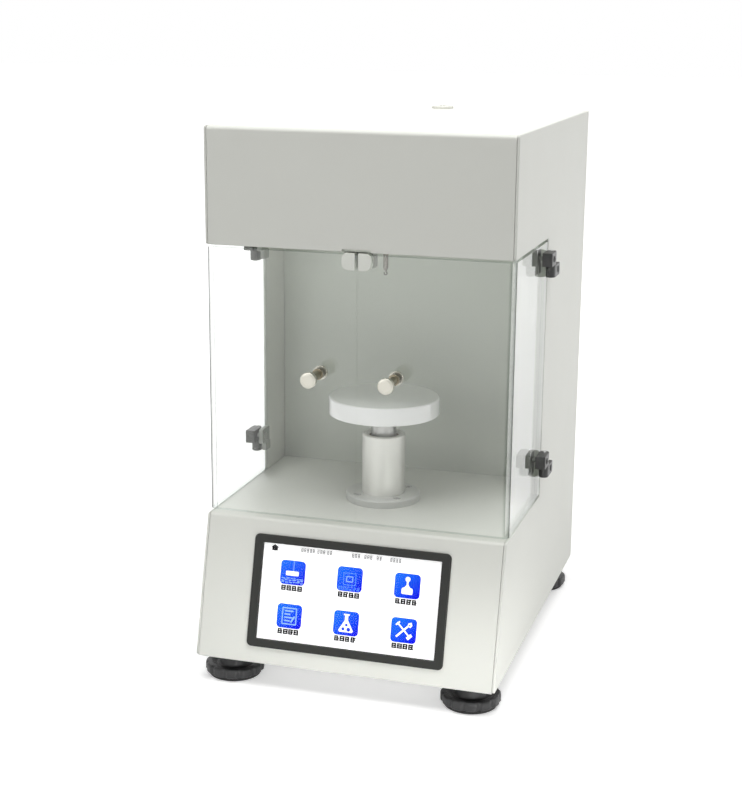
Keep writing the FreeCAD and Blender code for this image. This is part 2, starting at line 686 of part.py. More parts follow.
def stage_fixed():
    ring = turned("flange_turned", [("sleeve_radius + running_fit", "0"), ("flange_radius", "0"),
                                    ("flange_radius", "flange_thick - flange_edge"),
                                    ("flange_radius - flange_edge", "flange_thick"),
                                    ("sleeve_radius + running_fit", "flange_thick")], "0", "axis_y", "deck_z")
    pockets = []
    screws = []
    for x_sign in (-1, 1):
        for y_sign in (-1, 1):
            x = signed(x_sign, "flange_screw_circle * sqrt(0.5)")
            y = "axis_y + %d * flange_screw_circle * sqrt(0.5)" % y_sign
            pockets.append(rod("flange_pocket", "screw_head_radius + loose_fit", "flange_thick",
                               x, y, "deck_z + flange_thick / 2"))
            pockets.append(rod("flange_screw_hole", "screw_shank_radius + loose_fit", "2 * flange_thick",
                               x, y, "deck_z - flange_thick"))
            head = rod("flange_screw_head", "screw_head_radius", "flange_thick / 2 - loose_fit",
                       x, y, "deck_z + flange_thick / 2")
            hollow = rod("flange_screw_socket", "screw_shank_radius", "flange_thick",
                         x, y, "deck_z + 3 * flange_thick / 4")
            shank = rod("flange_screw_shank", "screw_shank_radius", "flange_thick / 2",
                        x, y, "deck_z")
            screws.append(less("flange_screw", joined("flange_screw_solid", [head, shank]), [hollow]))
    node("stage_flange", less("flange_cut", ring, pockets))
    node("stage_screws", grouped("stage_screws_group", screws))
    tube = turned("sleeve_turned", [("sleeve_bore", "0"), ("sleeve_radius", "0"),
                                    ("sleeve_radius", "sleeve_tail + sleeve_height - sleeve_round"),
                                    ("sleeve_radius - sleeve_round", "sleeve_tail + sleeve_height"),
                                    ("sleeve_bore", "sleeve_tail + sleeve_height")],
                  "0", "axis_y", "sleeve_low")
    node("stage_sleeve", tube)
    bushings = []
    for name, low in (("lower", "sleeve_low"), ("upper", "sleeve_top - bushing_length")):
        bushings.append(turned(name + "_bushing", [("shaft_radius + running_fit", "0"), ("sleeve_bore", "0"),
                                                   ("sleeve_bore", "bushing_length"),
                                                   ("shaft_radius + running_fit", "bushing_length")],
                               "0", "axis_y", low))
    node("stage_bushings", grouped("stage_bushings_group", bushings))


def stage_moving():
    disc = turned("platform_turned", [("0", "0"), ("platform_radius - platform_round", "0"),
                                      ("platform_radius", "platform_round"),
                                      ("platform_radius", "platform_thick - platform_round"),
                                      ("platform_radius - platform_round", "platform_thick"),
                                      ("0", "platform_thick")], "0", "axis_y", "platform_low")
    socket = rod("platform_socket", "shaft_radius + running_fit", "spigot_depth",
                 "0", "axis_y", "platform_low")
    node("platform_disc", less("platform_cut", disc, [socket]))
    shaft_top = "platform_low + spigot_depth - shaft_low"
    node("stage_shaft", turned("shaft_turned", [("shaft_bore", "0"), ("shaft_radius", "0"),
                                                ("shaft_radius", shaft_top), ("0", shaft_top),
                                                ("0", shaft_top + " - shaft_cap"),
                                                ("shaft_bore", shaft_top + " - shaft_cap")],
                               "0", "axis_y", "shaft_low"))
    plate = block("carriage_plate", ("-carriage_width / 2", "carriage_width / 2"),
                  ("axis_y - carriage_depth / 2", "axis_y + carriage_depth / 2"),
                  ("carriage_z", "carriage_z + carriage_thick"))
    holes = [rod("nut_hole", "nut_radius + running_fit", "2 * carriage_thick",
                 "0", "axis_y", "carriage_z - 1")]
    for side in (-1, 1):
        holes.append(rod("rod_hole", "rod_radius + running_fit", "2 * carriage_thick",
                         signed(side, "rod_spread"), "axis_y", "carriage_z - 1"))
    node("stage_carriage", less("carriage_cut", plate, holes))
    nut_top = "nut_collar + nut_length"
    node("lead_nut", turned("nut_turned", [("screw_radius + running_fit", "0"), ("nut_collar_radius", "0"),
                                           ("nut_collar_radius", "nut_collar"), ("nut_radius", "nut_collar"),
                                           ("nut_radius", nut_top), ("screw_radius + running_fit", nut_top)],
                            "0", "axis_y", "nut_z"))


def stage_drive():
    top = block("bracket_top_plate", ("-bracket_side / 2", "bracket_side / 2"),
                ("axis_y - bracket_side / 2", "axis_y + bracket_side / 2"), ("bracket_z", "bracket_top"))
    legs = []
    for side in (-1, 1):
        across = mirrored_span(side, "bracket_side / 2 - bracket_plate", "bracket_side / 2")
        legs.append(block("bracket_leg", across,
                          ("axis_y - bracket_side / 2", "axis_y + bracket_side / 2"),
                          ("floor_z", "bracket_z")))
    boss_hole = rod("boss_hole", "motor_boss_radius + loose_fit", "3 * bracket_plate", "0", "axis_y",
                    "bracket_z - bracket_plate")
    node("motor_bracket", less("bracket_cut", joined("bracket_solid", [top] + legs), [boss_hole]))
    can = slab("motor_can", "XY_Plane",
               [("-motor_side / 2", "axis_y - motor_side / 2"),
                ("motor_side / 2", "axis_y - motor_side / 2"),
                ("motor_side / 2", "axis_y + motor_side / 2"),
                ("-motor_side / 2", "axis_y + motor_side / 2")],
               "motor_length", "floor_z")
    dressed(can, "motor_corner", lambda edge, middle: straight_along(edge, 2), "PartDesign::Chamfer")
    boss = rod("motor_boss", "motor_boss_radius", "bracket_plate", "0", "axis_y", "bracket_z")
    socket = rod("motor_socket_hole", "screw_radius + running_fit", "motor_socket + 2 * bracket_plate",
                 "0", "axis_y", "bracket_top - motor_socket")
    node("lift_motor", less("motor_cut", joined("motor_solid", [can, boss]), [socket]))
    rods = []
    for side in (-1, 1):
        rods.append(rod("guide_rod", "rod_radius", "deck_under - bracket_top",
                        signed(side, "rod_spread"), "axis_y", "bracket_top"))
    node("guide_rods", grouped("guide_rods_group", rods))
    length = "deck_under - screw_clearance - bracket_top + motor_socket"
    node("lead_screw", turned("screw_turned", [("0", "0"), ("screw_radius", "0"),
                                               ("screw_radius", "(%s) - 1" % length),
                                               ("screw_radius - 1", length), ("0", length)],
                              "0", "axis_y", "bracket_top - motor_socket"))


# Balance ------------------------------------------------------------------------

def balance():
    low = "head_z + panel_sheet"
    body_span = ("axis_y - cell_depth / 2", "axis_y + cell_depth / 2")
    body = block("cell_body", ("-cell_width / 2", "cell_width / 2"), body_span,
                 (low + " + cell_stand", low + " + cell_stand + cell_height"))
    rails = []
    for side in (-1, 1):
        across = mirrored_span(side, "cell_width / 2 - 2 * cell_stand", "cell_width / 2")
        rails.append(block("cell_rail", across, body_span, (low, low + " + cell_stand")))
    node("balance_cell", joined("cell_solid", [body] + rails))
    rod_length = "hanger_taper + hanger_drop + panel_sheet + cell_stand"
    hanger = turned("hanger_turned", [("0", "0"), ("hanger_tip", "0"), ("hanger_radius", "hanger_taper"),
                                      ("hanger_radius", rod_length), ("0", rod_length)],
                    "0", "axis_y", "head_z - hanger_drop - hanger_taper")
    ring = doc.addObject("Part::Torus", "hook_ring_solid")
    ring.setExpression("Radius1", bind("hook_ring"))
    ring.setExpression("Radius2", bind("hook_wire"))
    place(ring, "0", "axis_y", "head_z - hanger_drop - hanger_taper - hook_ring", (1, 0, 0), 90)
    node("suspension_hook", joined("hook_solid", [hanger, ring]))


# Doors --------------------------------------------------------------------------

def door(side):
    name = "right" if side > 0 else "left"
    seam = "door_seam / 2"
    corners = [(seam, "pane_y"), ("pane_x", "pane_y"), ("pane_x", "pane_rear"), ("pane_inner_x", "pane_rear"),
               ("pane_inner_x", "pane_inner_y"), (seam, "pane_inner_y")]
    points = [(signed(side, x), y) for x, y in corners]
    if side < 0:
        points.reverse()
    pane = slab(name + "_pane_body", "XY_Plane", points, "pane_high - pane_low", "pane_low")
    for x, y, radius in (("pane_x", "pane_y", "pane_bend"),
                         ("pane_inner_x", "pane_inner_y", "pane_bend - pane_sheet")):
        spot = (side * value_of(x), value_of(y))
        dressed(pane, radius, lambda edge, middle: straight_along(edge, 2)
                and near(middle.x, spot[0]) and near(middle.y, spot[1]))
    knob_x = signed(side, "knob_spread")
    holes = [rod("knob_screw_hole", "knob_screw_radius + loose_fit", "3 * pane_sheet",
                 knob_x, "pane_y - pane_sheet", "knob_z", "y")]
    for level in HINGE_LEVELS.values():
        holes.append(rod("jaw_stud_hole", "jaw_stud_radius + loose_fit", "3 * pane_sheet",
                         stud_start(side, "2 * pane_sheet"), "jaw_y", clamp_middle(level), "x"))
    node(name + "_door_pane", less(name + "_pane_cut", pane, holes))

    neck_start = "knob_head + knob_taper"
    neck_end = neck_start + " + knob_neck"
    foot_end = neck_end + " + knob_foot"
    screw_end = foot_end + " + pane_sheet"
    knob = turned(name + "_knob_turned", [
        ("0", "0"), ("knob_radius - knob_edge", "0"), ("knob_radius", "knob_edge"),
        ("knob_radius", "knob_head"), ("knob_neck_radius", neck_start), ("knob_neck_radius", neck_end),
        ("knob_foot_radius", neck_end), ("knob_foot_radius", foot_end),
        ("knob_screw_radius", foot_end), ("knob_screw_radius", screw_end), ("0", screw_end)],
        knob_x, "pane_y - (%s)" % foot_end, "knob_z", "y")
    node(name + "_door_knob", knob)
    node(name + "_knob_nut", turned(name + "_nut_turned", [
        ("0", "0"), ("knob_nut_radius", "0"), ("knob_nut_radius", "knob_nut - knob_nut_edge"),
        ("knob_nut_radius - knob_nut_edge", "knob_nut"), ("0", "knob_nut")],
        knob_x, "pane_inner_y", "knob_z", "y"))

    clip = slab(name + "_strike_body", "XZ_Plane",
                ordered(side, [("strike_x", "strike_z"), ("strike_x + strike_width", "strike_z"),
                               ("strike_x + strike_width", "strike_z + strike_height"),
                               ("strike_x", "strike_z + strike_height")]),
                "pane_sheet + 2 * strike_sheet", "-(pane_inner_y + strike_sheet)")
    low_corner = (side * value_of("strike_x + strike_width"), value_of("strike_z"))
    dressed(clip, "strike_round", lambda edge, middle: straight_along(edge, 1)
            and near(middle.x, low_corner[0]) and near(middle.z, low_corner[1]))
    slot = block(name + "_strike_slot", ("-half_width", "half_width"), ("pane_y", "pane_inner_y"),
                 ("strike_z - 1", "pane_high"))
    node(name + "_door_strike", less(name + "_strike_cut", clip, [slot]))
    hinge_moving(side, name)


def ordered(side, points):
    """The points on the given side, kept in the same turning direction."""
    points = [(signed(side, u), v) for u, v in points]
    return points if side > 0 else points[::-1]


# Level at which the fixed and the moving half of each hinge meet.
HINGE_LEVELS = {"upper": "head_z - hinge_top_drop", "lower": "deck_z + hinge_low_rise"}

PLACES.update({
    "jaw_y": "pin_y - clamp_reach / 2",
    "hinge_face_x": "pin_x + hinge_radius",
    "pin_near_x": "pin_x - hinge_radius",
})


def clamp_low(level):
    return "%s + hinge_gap / 2" % level


def clamp_high(level):
    return "%s + hinge_gap / 2 + hinge_clamp_height" % level


def clamp_middle(level):
    return "%s + hinge_gap / 2 + hinge_clamp_height / 2" % level


def leaf_high(level):
    return "%s - hinge_gap / 2" % level


def stud_start(side, back):
    """Start of a rod along +X that crosses the door wall from either side."""
    if side > 0:
        return "pane_inner_x - (%s) / 2" % back
    return "-(pane_x) - (%s) / 2" % back


def hinge_bore(label, side, radius, low, height):
    """Tool for the pin's hole through one half of a hinge."""
    return rod(label, radius, "(%s) + 2" % height, signed(side, "pin_x"), "pin_y", "(%s) - 1" % low)


def hinge_moving(side, name):
    """Half on the door: a block outside the pane, round about the pin, and a plate inside it."""
    clamps = []
    jaws = []
    for place_name, level in HINGE_LEVELS.items():
        label = name + "_" + place_name
        low = clamp_low(level)
        high = clamp_high(level)
        bar = slab(label + "_clamp_bar", "XY_Plane",
                   ordered(side, [("pane_x", "pin_y - clamp_reach"), ("hinge_face_x", "pin_y - clamp_reach"),
                                  ("hinge_face_x", "pin_y"), ("pane_x", "pin_y")]),
                   "hinge_clamp_height", low)
        front = value_of("pin_y - clamp_reach")
        face_x = side * value_of("hinge_face_x")
        dressed(bar, "hinge_edge", lambda edge, middle: near(middle.y, front)
                and (near(middle.x, face_x) or not straight_along(edge, 2)))
        knuckle = rod(label + "_knuckle", "hinge_radius", "hinge_clamp_height",
                      signed(side, "pin_x"), "pin_y", low)
        bore = hinge_bore(label + "_bore", side, "hinge_pin_radius + running_fit", low, "hinge_clamp_height")
        clamps.append(less(label + "_clamp", joined(label + "_clamp_solid", [bar, knuckle]), [bore]))
        plate = slab(label + "_jaw_plate", "YZ_Plane", [
            ("pin_y - clamp_reach", low), ("pin_y - jaw_tab_front", low),
            ("pin_y - jaw_tab_front", low + " - jaw_tab_drop"),
            ("pin_y + jaw_tab_back", low + " - jaw_tab_drop"),
            ("pin_y + jaw_tab_back", low), ("pin_y", low), ("pin_y", high + " + jaw_rise"),
            ("pin_y - clamp_reach", high + " + jaw_rise")],
            "jaw_thick", "pane_inner_x - jaw_thick" if side > 0 else "-pane_inner_x")
        top = value_of(high + " + jaw_rise")
        dressed(plate, "jaw_round", lambda edge, middle: straight_along(edge, 0)
                and near(middle.y, front) and near(middle.z, top))
        start = "pane_inner_x" if side > 0 else "-pane_x"
        stud = rod(label + "_jaw_stud", "jaw_stud_radius", "pane_sheet",
                   start, "jaw_y", clamp_middle(level), "x")
        jaws.append(joined(label + "_jaw", [plate, stud]))
    node(name + "_hinge_clamps", grouped(name + "_clamps_group", clamps))
    node(name + "_hinge_jaws", grouped(name + "_jaws_group", jaws))


def hinge_fixed():
    """Half on the side panel: a bar, round about the pin at its front end, and the pin."""
    leaves = []
    pins = []
    for side in (-1, 1):
        for place_name, level in HINGE_LEVELS.items():
            label = "%s_%s" % ("right" if side > 0 else "left", place_name)
            high = leaf_high(level)
            low = high + " - hinge_leaf_height"
            knuckle = rod(label + "_fixed_knuckle", "hinge_radius", "hinge_leaf_height",
                          signed(side, "pin_x"), "pin_y", low)
            bar = slab(label + "_leaf_bar", "XY_Plane",
                       ordered(side, [("pin_near_x", "pin_y"), ("hinge_face_x", "pin_y"),
                                      ("hinge_face_x", "pin_y + leaf_reach"),
                                      ("half_width", "pin_y + leaf_reach"),
                                      ("half_width", "jamb_y + panel_round"),
                                      ("pin_near_x", "jamb_y + panel_round")]),
                       "hinge_leaf_height", low)
            back = value_of("pin_y + leaf_reach")
            face_x = side * value_of("hinge_face_x")
            dressed(bar, "hinge_edge", lambda edge, middle: near(middle.y, back)
                    and (near(middle.x, face_x) or not straight_along(edge, 2)))
            bore = hinge_bore(label + "_leaf_bore", side, "hinge_pin_radius", low, "hinge_leaf_height")
            leaves.append(less(label + "_leaf", joined(label + "_leaf_solid", [knuckle, bar]), [bore]))
            pins.append(rod(label + "_pin", "hinge_pin_radius",
                            "hinge_leaf_height + hinge_gap + hinge_clamp_height + 2 * hinge_pin_head",
                            signed(side, "pin_x"), "pin_y", "(%s) - hinge_pin_head" % low))
    node("hinge_leaves", grouped("hinge_leaves_group", leaves))
    node("hinge_pins", grouped("hinge_pins_group", pins))


def door_catch():
    body = block("catch_block", ("-catch_width / 2", "catch_width / 2"), ("catch_y", "catch_y + catch_depth"),
                 ("head_z - catch_height", "head_z"))
    pockets = []
    magnets = []
    for side in (-1, 1):
        spot = (signed(side, "magnet_spread"), "catch_y", "head_z - catch_height / 2")
        pockets.append(rod("magnet_pocket", "magnet_radius", "magnet_length", *spot, along="y"))
        magnets.append(rod("magnet", "magnet_radius", "magnet_length", *spot, along="y"))
    node("catch_body", less("catch_cut", body, pockets))
    node("catch_magnets", grouped("magnets_group", magnets))


# Feet ---------------------------------------------------------------------------

def foot(name, side, y):
    x = signed(side, "foot_spread")
    pad = turned(name + "_pad_turned", [
        ("0", "0"), ("foot_pad_radius", "0"), ("foot_pad_radius", "foot_pad_thick"),
        ("foot_pivot_radius", "foot_pad_thick"), ("foot_pivot_radius", "foot_pad_thick + foot_pivot_height"),
        ("0", "foot_pad_thick + foot_pivot_height")], x, y, "0")
    node("foot_pad_" + name, pad)
    hub_low = "foot_wheel_thick"
    hub_top = "hub_high - wheel_low"
    stud_top = "(%s) + foot_stud_length" % hub_top
    wheel = turned(name + "_wheel_turned", [
        ("foot_pivot_radius + loose_fit", "0"), ("foot_wheel_radius - foot_edge", "0"),
        ("foot_wheel_radius", "foot_edge"), ("foot_wheel_radius", "foot_wheel_thick - foot_edge"),
        ("foot_wheel_radius - foot_edge", "foot_wheel_thick"), ("foot_hub_radius", hub_low),
        ("foot_hub_top", hub_top), ("foot_stud_radius", hub_top), ("foot_stud_radius", stud_top),
        ("0", stud_top), ("0", "foot_pivot_height + 2 * loose_fit"),
        ("foot_pivot_radius + loose_fit", "foot_pivot_height + 2 * loose_fit")], x, y, "wheel_low")
    hollows = []
    count = int(value_of("foot_lobes"))
    for index in range(count):
        turn = "360 * (%d + 0.5) / %d" % (index, count)
        reach = "(foot_wheel_radius + foot_lobe_radius - foot_lobe_depth)"
        hollows.append(rod(name + "_hollow", "foot_lobe_radius", "2 * foot_wheel_thick",
                           "%s + %s * cos(%s)" % (x, reach, turn), "%s + %s * sin(%s)" % (y, reach, turn),
                           "wheel_low - 1"))
    node("foot_wheel_" + name, less(name + "_wheel_cut", wheel, hollows))


# Level, rear fittings and electronics --------------------------------------------

def bubble_level():
    x = "-level_left"
    y = "back_y - level_inset"
    rim_top = "level_tail + level_height"
    bowl = "level_window - level_lip"
    node("level_housing", turned("level_turned", [
        ("0", "0"), ("level_window", "0"), ("level_window", "level_tail"), ("level_radius", "level_tail"),
        ("level_radius", rim_top + " - level_edge"), ("level_radius - level_edge", rim_top),
        ("level_window", rim_top), (bowl, rim_top + " - level_lip"), (bowl, "level_floor"),
        ("0", "level_floor")], x, y, "top_z - level_tail"))
    rise = rim_top + " - level_lip - level_floor"
    node("level_vial", turned("vial_turned", [
        ("0", "0"), (bowl, "0"), (bowl, rise), ("0", rise + " + level_dome")],
        x, y, "top_z - level_tail + level_floor"))


def rear_fittings():
    for name, centre, width, height in FITTINGS:
        depth = {"inlet": "inlet_depth", "switch": "inlet_depth", "socket": "socket_depth"}[name]
        wall = "switch_wall" if name == "switch" else "inlet_wall"
        body = block(name + "_body", fitting_span(centre, width), ("rear_y - (%s)" % depth, "rear_y"),
                     fitting_span("fitting_z", height))
        flange = block(name + "_flange", fitting_span(centre, width, "inlet_rim"), ("rear_y", "flange_y"),
                       fitting_span("fitting_z", height, "inlet_rim"))
        hollow = block(name + "_hollow", fitting_span(centre, width, "-" + wall),
                       ("rear_y - (%s) + inlet_wall" % depth, "flange_y + 1"),
                       fitting_span("fitting_z", height, "-" + wall))
        cuts = [hollow]
        if name == "switch":
            cuts.append(rocker_pivot("pivot_hole", "rocker_pin_radius + running_fit",
                                     "rocker_pin_reach + running_fit"))
        shell = less(name + "_shell", joined(name + "_solid", [body, flange]), cuts)
        node({"inlet": "power_inlet", "switch": "switch_frame", "socket": "data_socket"}[name], shell)
    pins = []
    pin_root = "rear_y - inlet_depth + inlet_wall"
    for step in (-1, 0, 1):
        x = "inlet_side + %d * inlet_width / 4" % step
        z = "fitting_z + %s" % ("inlet_height / 8" if step == 0 else "-inlet_height / 8")
        pins.append(block("inlet_pin", fitting_span(x, "inlet_pin_width"),
                          (pin_root, pin_root + " + inlet_pin_length"),
                          fitting_span(z, "inlet_pin_height")))
    node("inlet_pins", grouped("inlet_pins_group", pins))


def rocker_pivot(label, radius, reach):
    """Rod along the rocker's pivot axis, reaching into both walls of the switch frame."""
    half_length = "switch_width / 2 - switch_wall + %s" % reach
    return rod(label, radius, "2 * (%s)" % half_length, "switch_side - (%s)" % half_length,
               "flange_y - rocker_edge", "fitting_z", "x")


def rocker():
    """Rocker with a shallow V face, pivoted about X in the middle of its frame."""
    low = "fitting_z - switch_height / 2 + switch_wall + rocker_fit"
    high = "fitting_z + switch_height / 2 - switch_wall - rocker_fit"
    front = "flange_y + rocker_proud"
    body = slab("rocker_body", "YZ_Plane",
                [("flange_y - rocker_depth", "fitting_z - rocker_tail / 2"),
                 ("flange_y - rocker_depth", "fitting_z + rocker_tail / 2"),
                 ("flange_y - rocker_edge", high), (front, high), ("flange_y - rocker_dip", "fitting_z"),
                 (front, low), ("flange_y - rocker_edge", low)],
                "switch_width - 2 * switch_wall - 2 * rocker_fit", "0", midplane=True)
    place(body, "switch_side")
    node("switch_rocker", joined("rocker_solid", [body, rocker_pivot("pivot_pin", "rocker_pin_radius",
                                                                     "rocker_pin_reach")]))


def electronics():
    supply = block("supply_case", ("-supply_left", "-supply_left + supply_width"),
                   ("rear_inside - supply_back - supply_depth", "rear_inside - supply_back"),
                   ("floor_z", "floor_z + supply_height"))
    node("power_supply", supply)
    board_y = "wall_y + panel_sheet + board_stand"
    board_back = board_y + " + board_thick"
    board_z = "floor_z + board_rise"
    pieces = [block("board_plate", ("-board_width / 2", "board_width / 2"), (board_y, board_back),
                    (board_z, board_z + " + board_height"))]
    for side in (-1, 1):
        for z in (board_z + " + board_post_inset", board_z + " + board_height - board_post_inset"):
            x = signed(side, "board_width / 2 - board_post_inset")
            pieces.append(rod("board_post", "board_post_radius", "board_stand",
                              x, "wall_y + panel_sheet", z, "y"))
    for index in range(3):
        chip_z = "%s + board_height * (%d + 1) / 5" % (board_z, index)
        pieces.append(block("board_chip", ("-chip_side / 2", "chip_side / 2"),
                            (board_back, board_back + " + chip_thick"), (chip_z, chip_z + " + chip_height")))
    node("main_board", joined("board_solid", pieces))


for panel_side in (-1, 1):
    side_panel(panel_side)
head_cover()
head_floor()
chamber_wall()
base_cover()
base_plate()
rear_panel()
rear_screws()
display()
stage_fixed()
stage_moving()
stage_drive()
balance()
for door_side in (-1, 1):
    door(door_side)
hinge_fixed()
door_catch()
for foot_name, foot_side, foot_y in FEET:
    foot(foot_name, foot_side, foot_y)
bubble_level()
rear_fittings()
rocker()
electronics()

doc.recompute()

for item in doc.Objects:
    if "Invalid" in item.State or "Error" in item.State:
        raise RuntimeError("%s is %s" % (item.Label, item.State))

os.makedirs("parts", exist_ok=True)
for label, item in NODES:
    shape = item.Shape
    if shape.isNull() or not shape.isValid() or not shape.Solids:
        raise RuntimeError(label + " has no valid solid")
    shape.exportStep("parts/%s.step" % label)
    box = shape.BoundBox
    print("%-24s %2d solids %10.1f mm3  x %7.2f %7.2f  y %8.2f %8.2f  z %7.2f %7.2f" % (
        label, len(shape.Solids), shape.Volume, box.XMin, box.XMax, box.YMin, box.YMax, box.ZMin, box.ZMax))
print(len(NODES), "nodes")
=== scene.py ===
import bmesh
import bpy
import json
import math
import random
from mathutils import Matrix, Vector


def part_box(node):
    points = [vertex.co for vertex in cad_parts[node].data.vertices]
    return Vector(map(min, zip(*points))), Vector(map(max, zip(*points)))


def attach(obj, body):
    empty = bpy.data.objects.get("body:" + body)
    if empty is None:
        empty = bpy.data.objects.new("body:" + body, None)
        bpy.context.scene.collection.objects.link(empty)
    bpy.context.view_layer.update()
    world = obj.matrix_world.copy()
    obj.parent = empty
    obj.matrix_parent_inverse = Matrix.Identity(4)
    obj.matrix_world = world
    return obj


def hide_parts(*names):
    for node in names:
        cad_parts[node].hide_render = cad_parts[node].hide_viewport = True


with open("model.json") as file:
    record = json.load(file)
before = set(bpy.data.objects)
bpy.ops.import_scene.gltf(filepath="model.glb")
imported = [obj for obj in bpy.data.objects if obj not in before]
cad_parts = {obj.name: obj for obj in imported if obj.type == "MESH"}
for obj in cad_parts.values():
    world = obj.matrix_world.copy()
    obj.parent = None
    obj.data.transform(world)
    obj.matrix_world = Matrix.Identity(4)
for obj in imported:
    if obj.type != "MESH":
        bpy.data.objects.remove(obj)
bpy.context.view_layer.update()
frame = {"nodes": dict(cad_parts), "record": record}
nodes = frame["nodes"]
MM = 0.001


# ---------------------------------------------------------------- colours, nodes and shader groups

def shade(red, green, blue):
    """Linear colour from the usual 0 to 255 display values."""
    def linear(value):
        value /= 255
        return value / 12.92 if value <= 0.04045 else ((value + 0.055) / 1.055) ** 2.4
    return (linear(red), linear(green), linear(blue), 1.0)


def feed(tree, node, values):
    """Gives a node's inputs their values; a value that is a socket is linked."""
    for name, value in values.items():
        if isinstance(value, bpy.types.NodeSocket):
            tree.links.new(value, node.inputs[name])
        else:
            node.inputs[name].default_value = value
    return node


def add_node(tree, kind, values=None, **settings):
    """A new node with its settings, and its inputs fed."""
    new = tree.nodes.new(kind)
    for name, value in settings.items():
        setattr(new, name, value)
    return feed(tree, new, values or {})


def maths(tree, operation, *values):
    """Result of a maths node on numbers or sockets."""
    return add_node(tree, "ShaderNodeMath", dict(enumerate(values)), operation=operation).outputs[0]


def vector_maths(tree, operation, *values):
    """Result of a vector maths node: a number for a length or a dot product, else a vector."""
    made = add_node(tree, "ShaderNodeVectorMath", dict(enumerate(values)), operation=operation)
    return made.outputs["Value" if operation in ("LENGTH", "DOT_PRODUCT") else "Vector"]


def scaled(tree, vector, amount):
    """A vector or colour socket times a number."""
    return add_node(tree, "ShaderNodeVectorMath", {0: vector, "Scale": amount}, operation="SCALE").outputs[0]


def remap(tree, value, from_low=0.0, from_high=1.0, to_low=0.0, to_high=1.0):
    """A value moved from one range to another, and held to it."""
    ends = {"Value": value, "From Min": from_low, "From Max": from_high, "To Min": to_low, "To Max": to_high}
    return add_node(tree, "ShaderNodeMapRange", ends).outputs[0]


def blend(tree, factor, first, second):
    """Colour between two others."""
    values = {"Factor": factor, 6: first, 7: second}
    return add_node(tree, "ShaderNodeMix", values, data_type="RGBA").outputs[2]


def object_place(tree):
    """Place on the object itself, which stays with it when it moves."""
    return add_node(tree, "ShaderNodeTexCoord").outputs["Object"]


def noise(tree, vector, scale, detail, roughness, distortion=0.0):
    """Smooth random value over a place."""
    values = {"Vector": vector, "Scale": scale, "Detail": detail, "Roughness": roughness,
              "Distortion": distortion}
    return add_node(tree, "ShaderNodeTexNoise", values).outputs["Fac"]


def effect_group(name, inputs, outputs):
    """An empty shader group with named sockets, what comes into it, and the node that it leaves by."""
    group = bpy.data.node_groups.new(name, "ShaderNodeTree")
    for label, kind, value in inputs:
        socket = group.interface.new_socket(name=label, in_out="INPUT", socket_type="NodeSocket" + kind)
        socket.default_value = value
    for label, kind in outputs:
        group.interface.new_socket(name=label, in_out="OUTPUT", socket_type="NodeSocket" + kind)
    return group, group.nodes.new("NodeGroupInput").outputs, group.nodes.new("NodeGroupOutput")


def make_grain():
    """Fine bumps at a given size, with a slower drift of tone."""
    group, entry, leave = effect_group("Grain", [("Size", "Float", 0.001), ("Contrast", "Float", 0.5)],
                                       [("Height", "Float"), ("Drift", "Float")])
    place = object_place(group)
    fine = noise(group, place, maths(group, "DIVIDE", 1.0, entry["Size"]), 2.0, 0.5)
    height = maths(group, "MULTIPLY", remap(group, fine, 0.3, 0.7), entry["Contrast"])
    feed(group, leave, {"Height": height, "Drift": noise(group, place, 14.0, 3.0, 0.55)})
    return group


def make_tint():
    """A colour made a little lighter or darker by a mask."""
    group, entry, leave = effect_group(
        "Tint", [("Color", "Color", (0.8, 0.8, 0.8, 1)), ("Mask", "Float", 0.5), ("Amount", "Float", 0.05)],
        [("Color", "Color")])
    centred = maths(group, "SUBTRACT", entry["Mask"], 0.5)
    strength = maths(group, "MULTIPLY_ADD", centred, entry["Amount"], 1.0)
    feed(group, leave, {"Color": scaled(group, entry["Color"], strength)})
    return group


def make_edges():
    """Rounded normals along edges, and a mask that is high on them."""
    group, entry, leave = effect_group("Edges", [("Width", "Float", 0.001)],
                                       [("Mask", "Float"), ("Normal", "Vector")])
    soft = add_node(group, "ShaderNodeBevel", {"Radius": entry["Width"]}, samples=6).outputs["Normal"]
    hard = add_node(group, "ShaderNodeNewGeometry").outputs["Normal"]
    agree = vector_maths(group, "DOT_PRODUCT", soft, hard)
    feed(group, leave, {"Mask": remap(group, agree, 0.99, 0.8), "Normal": soft})
    return group


def make_handling():
    """Faint cloudy smudges that change how a surface shines."""
    group, entry, leave = effect_group(
        "Handling", [("Base", "Float", 0.4), ("Spread", "Float", 0.1), ("Scale", "Float", 25.0)],
        [("Roughness", "Float")])
    cloud = noise(group, object_place(group), entry["Scale"], 4.0, 0.6, 0.4)
    centred = maths(group, "SUBTRACT", cloud, 0.5)
    feed(group, leave, {"Roughness": maths(group, "MULTIPLY_ADD", centred, entry["Spread"], entry["Base"])})
    return group


def make_strokes():
    """Fine parallel tool marks; a large stretch along an axis packs the marks along that axis."""
    group, entry, leave = effect_group(
        "Strokes", [("Stretch", "Vector", (1.0, 1.0, 1.0)), ("Scale", "Float", 900.0)], [("Height", "Float")])
    pulled = vector_maths(group, "MULTIPLY", object_place(group), entry["Stretch"])
    feed(group, leave, {"Height": noise(group, pulled, entry["Scale"], 3.0, 0.6)})
    return group


def make_rings():
    """Concentric turning marks about an axis through a point."""
    group, entry, leave = effect_group(
        "Rings", [("Centre", "Vector", (0.0, 0.0, 0.0)), ("Across", "Vector", (1.0, 1.0, 0.0)),
                  ("Pitch", "Float", 0.0004)], [("Height", "Float")])
    shifted = vector_maths(group, "SUBTRACT", object_place(group), entry["Centre"])
    flat = vector_maths(group, "MULTIPLY", shifted, entry["Across"])
    count = maths(group, "DIVIDE", vector_maths(group, "LENGTH", flat), entry["Pitch"])
    uneven = add_node(group, "ShaderNodeTexNoise", {"Scale": 1.0, "Detail": 2.0}, noise_dimensions="1D")
    feed(group, uneven, {"W": count})
    feed(group, leave, {"Height": uneven.outputs["Fac"]})
    return group


